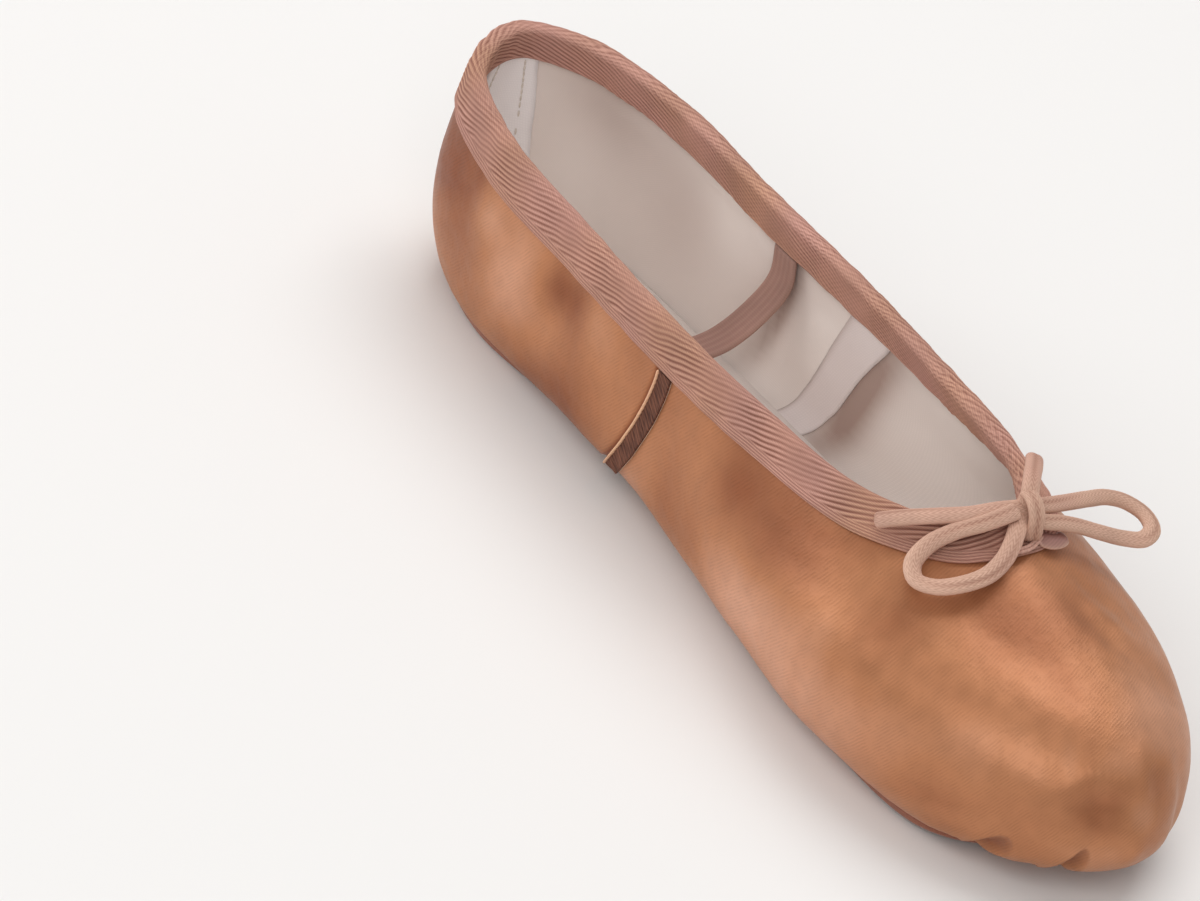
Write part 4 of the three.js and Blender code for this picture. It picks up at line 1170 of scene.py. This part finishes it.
class ElasticStrap(bpy.types.Operator):
    """Makes the ribbed elastic strap, slack inside the shoe"""

    bl_idname = "slipper.elastic_strap"
    bl_label = "Elastic strap"

    def execute(self, context):
        sizes, colours = context.scene.slipper_sizes, context.scene.slipper_colours
        last = Last(sizes)
        top = last.below_rim(np.array([STRAP_AT]), [sizes.binding_inner_width + sizes.seat_gap])[0, 0]
        seat = -sizes.upper_wall - sizes.seat_gap - sizes.strap_thickness / 2
        end = last.on(STRAP_AT, top, seat)
        below = last.on(STRAP_AT, top - 0.12, seat - 1.7 * MM)
        side = [end, below] + [
            np.array([below[0] + x * MM, below[1] * y, mix(below[2], sizes.strap_low_point, z)])
            for x, y, z in ((-0.6, 0.84, 0.46), (-1.1, 0.48, 0.90))
        ]
        low = np.array([below[0] - 1.1 * MM, 0, sizes.strap_low_point])
        line = evenly(open_curve(side + [low] + [p * (1, -1, 1) for p in side[::-1]], 400), 0.6 * MM)
        way = unit(np.gradient(line, axis=0))
        wide = np.array([1.0, 0, 0])
        face = unit(np.cross(way, wide))
        columns = 60
        share = np.linspace(-1, 1, columns)
        rib = np.cos(math.pi * share * STRAP_RIBS)
        body = sizes.strap_thickness / 2 * np.clip(1 - ((np.abs(share) - 0.9) / 0.1).clip(0) ** 2, 0.25, 1)
        across = line[:, None] + wide * (share * sizes.strap_width / 2)[:, None]
        out = face[:, None] * (body + 0.07 * MM * rib)[:, None]
        loops = np.concatenate([across - out, (across + out)[:, ::-1]], 1)
        tone = np.maximum(0.45 * rib, smooth((np.abs(share) - 0.84) / 0.1))
        # slack darkens the strap towards its middle, where it hangs lowest inside the shoe: painted shade.
        slack = 0.55 * smooth(1.3 - np.abs(line[:, 1]) / (15 * MM))
        marks = np.concatenate([tone, tone[::-1]]) - np.pad(slack, 1, mode="edge")[:, None]
        strap = skin("strap_elastic", bar_ends(loops), (False, True), {"rib": marks})
        fitted(strap, ribbed_cloth("ribbed_elastic", colours.elastic, colours.elastic,
                                   colours.elastic_groove, 0.5 * MM, 0.0, 0.05), "elastic", "elastic_strap")
        return {"FINISHED"}


class DrawstringBow(bpy.types.Operator):
    """Makes the braided drawstring's bow: two cords and their knot"""

    bl_idname = "slipper.drawstring_bow"
    bl_label = "Drawstring bow"

    def execute(self, context):
        sizes, colours = context.scene.slipper_sizes, context.scene.slipper_colours
        material = ribbed_cloth("braided_cord", colours.cord, colours.cord_rose, colours.cord_groove,
                                0.32 * MM, 1.35, 0.08)
        width, thick = sizes.cord_width, sizes.cord_thickness
        angle = np.linspace(0, 2 * math.pi, CORD_SIDES, endpoint=False)
        knot = self.knot(width, thick, angle, material)
        routes = (
            ("drawstring_left", LOOP_LEFT, END_RIGHT, ("cord_loop_left", "cord_end_right")),
            ("drawstring_right", LOOP_RIGHT, END_LEFT, ("cord_loop_right", "cord_end_left")),
        )
        for name, loop, end, nodes in routes:
            line = evenly(open_curve(np.array(loop + end) * MM, 900), 0.2 * MM)
            up = np.broadcast_to(unit(np.array([0.25, 0.0, 1.0])), line.shape)
            grid = tube(line, width, thick, up, CORD_SIDES, 0.9 * MM, flattened)
            marks = braid_tone(travelled(line)[:, None], angle)
            cord = skin(name, grid, (False, True), {"rib": marks})
            fitted(cord, material, "cord", *nodes)
        self.trimmings(colours)
        return {"FINISHED"}

    @staticmethod
    def knot(width, thick, angle, material):
        """One turn of cord round the crossing strands."""
        route = np.array(KNOT_TURN) * MM
        ring = on_curve(route, np.linspace(0, len(route), 110, endpoint=False))
        out = unit(ring - ring.mean(0))
        wrap = tube(ring, width * 0.95, thick * 0.75, out, CORD_SIDES, 0, flattened)
        tone = braid_tone(travelled(ring)[:, None], angle)
        piece = skin("knot_wrap", wrap, (True, True), {"rib": tone})
        return fitted(piece, material, "cord", "bow_knot")

    @staticmethod
    def trimmings(colours):
        """The tape's turned end beside the knot, and the twisted threads that hold the knot down."""
        tab = satin_cloth("tape_end_tab", colours.tab, colours.cord, colours.tape_groove)
        line = evenly(open_curve(np.array(TAPE_END) * MM, 60), 0.15 * MM)
        up = np.broadcast_to(unit(np.array([0.5, -0.2, 0.7])), line.shape)
        grid = tube(line, 3.0 * MM, 0.9 * MM, up, 24, 1.4 * MM)
        turn = np.linspace(0, 2 * math.pi, 24, endpoint=False)
        # The tab's tone is a painted highlight along one edge, in the cord's colour, and painted shade along
        # the other, in the tape's groove colour.
        tone = np.broadcast_to(0.8 * np.cos(turn) ** 3, grid.shape[:2])
        fitted(skin("tape_end", grid, (False, True), {"tone": tone}), tab, "binding_tape")
        line = open_curve(np.array(KNOT_TACK) * MM, 13)
        side = np.where(np.arange(13) % 2, 0.35, -0.35)[:, None] * MM
        places = line + side * np.array([0.8, 0.1, -0.4])
        ways = unit(np.gradient(line, axis=0)) + np.array([0.25, 0.0, 0.3])
        outs = np.broadcast_to(unit(np.array([0.4, -0.2, 0.9])), places.shape)
        tack = stitch_row(places, unit(ways), outs, 2.6 * MM, 0.8 * MM)
        fitted(joined("knot_tack", [tack]), twisted_thread("tack_thread", colours.cord_rose), None)


class StudioStage(bpy.types.Operator):
    """Sets the floor, the lights and the camera"""

    bl_idname = "slipper.studio_stage"
    bl_label = "Studio stage"

    def execute(self, context):
        scene = context.scene
        bpy.ops.object.select_all(action="DESELECT")
        bpy.ops.mesh.primitive_plane_add(size=12, location=(0, 0, -0.2 * MM))
        floor = context.object
        floor.name = "studio_floor"
        material, _, shader = new_material("painted_floor", Roughness=0.9, Specular_IOR_Level=0.2)
        shader.inputs["Base Color"].default_value = scene.slipper_colours.floor
        floor.data.materials.append(material)

        world = bpy.data.worlds.new("studio")
        world.use_nodes = True
        world.node_tree.nodes["Background"].inputs[0].default_value = linear("FFFFFF")
        world.node_tree.nodes["Background"].inputs[1].default_value = 0.38
        scene.world = world
        scene.view_settings.view_transform = "Standard"

        aim = Vector((0, 0, 25 * MM))
        for name, place, size, power in (
            ("top", (-0.35, 0.45, 1.3), 1.1, 11.0),
            ("left", (-1.1, -0.8, 0.55), 0.9, 6.5),
            ("front", (0.7, -0.9, 1.0), 1.1, 8.5),
        ):
            lamp = bpy.data.lights.new(name, "AREA")
            lamp.size = size
            lamp.energy = power
            light = bpy.data.objects.new(name, lamp)
            light.location = place
            light.rotation_euler = (aim - Vector(place)).to_track_quat("-Z", "Y").to_euler()
            scene.collection.objects.link(light)
        self.camera(scene)
        return {"FINISHED"}

    @staticmethod
    def camera(scene):
        """The photograph's viewing angle, its roll included."""
        around, above, roll = (math.radians(a) for a in (48.02, 33.94, 14.99))
        distance = 1.233
        back = Vector((
            math.sin(around) * math.cos(above), -math.cos(around) * math.cos(above), math.sin(above),
        ))
        level = Vector((math.cos(around), math.sin(around), 0))
        rise = back.cross(level)
        right = level * math.cos(roll) + rise * math.sin(roll)
        up = rise * math.cos(roll) - level * math.sin(roll)
        view = bpy.data.cameras.new("photo_view")
        view.sensor_width = 36
        view.lens = 5.25 / MM * distance * 36 / 1200
        view.clip_start, view.clip_end = 0.05, 20
        camera = bpy.data.objects.new("photo_view", view)
        place = Vector((0, 0, 20 * MM)) + back * distance + right * (-37.08 * MM) + up * (2.15 * MM)
        turn = Matrix((right, up, back)).transposed()
        camera.matrix_world = Matrix.Translation(place) @ turn.to_4x4()
        scene.collection.objects.link(camera)
        scene.camera = camera


OPERATORS = (
    SatinUpper, InnerLining, SideSeams, SuedeSole, TapeBinding, ElasticStrap, DrawstringBow, StudioStage,
)


class SlipperPanel(bpy.types.Panel):
    """Lists the pieces of the slipper"""

    bl_idname = "SLIPPER_PT_pieces"
    bl_label = "Soft ballet slipper"
    bl_space_type = "VIEW_3D"
    bl_region_type = "UI"
    bl_category = "Slipper"

    def draw(self, context):
        for operator in OPERATORS:
            self.layout.operator(operator.bl_idname)


CLASSES = (SlipperSizes, SlipperColours, *OPERATORS, SlipperPanel)


def register():
    for item in CLASSES:
        bpy.utils.register_class(item)
    bpy.types.Scene.slipper_sizes = bpy.props.PointerProperty(type=SlipperSizes)
    bpy.types.Scene.slipper_colours = bpy.props.PointerProperty(type=SlipperColours)


def unregister():
    del bpy.types.Scene.slipper_colours
    del bpy.types.Scene.slipper_sizes
    for item in reversed(CLASSES):
        bpy.utils.unregister_class(item)


def main():
    register()
    for operator in OPERATORS:
        getattr(bpy.ops.slipper, operator.bl_idname.split(".")[1])()


if __name__ == "__main__":
    main()
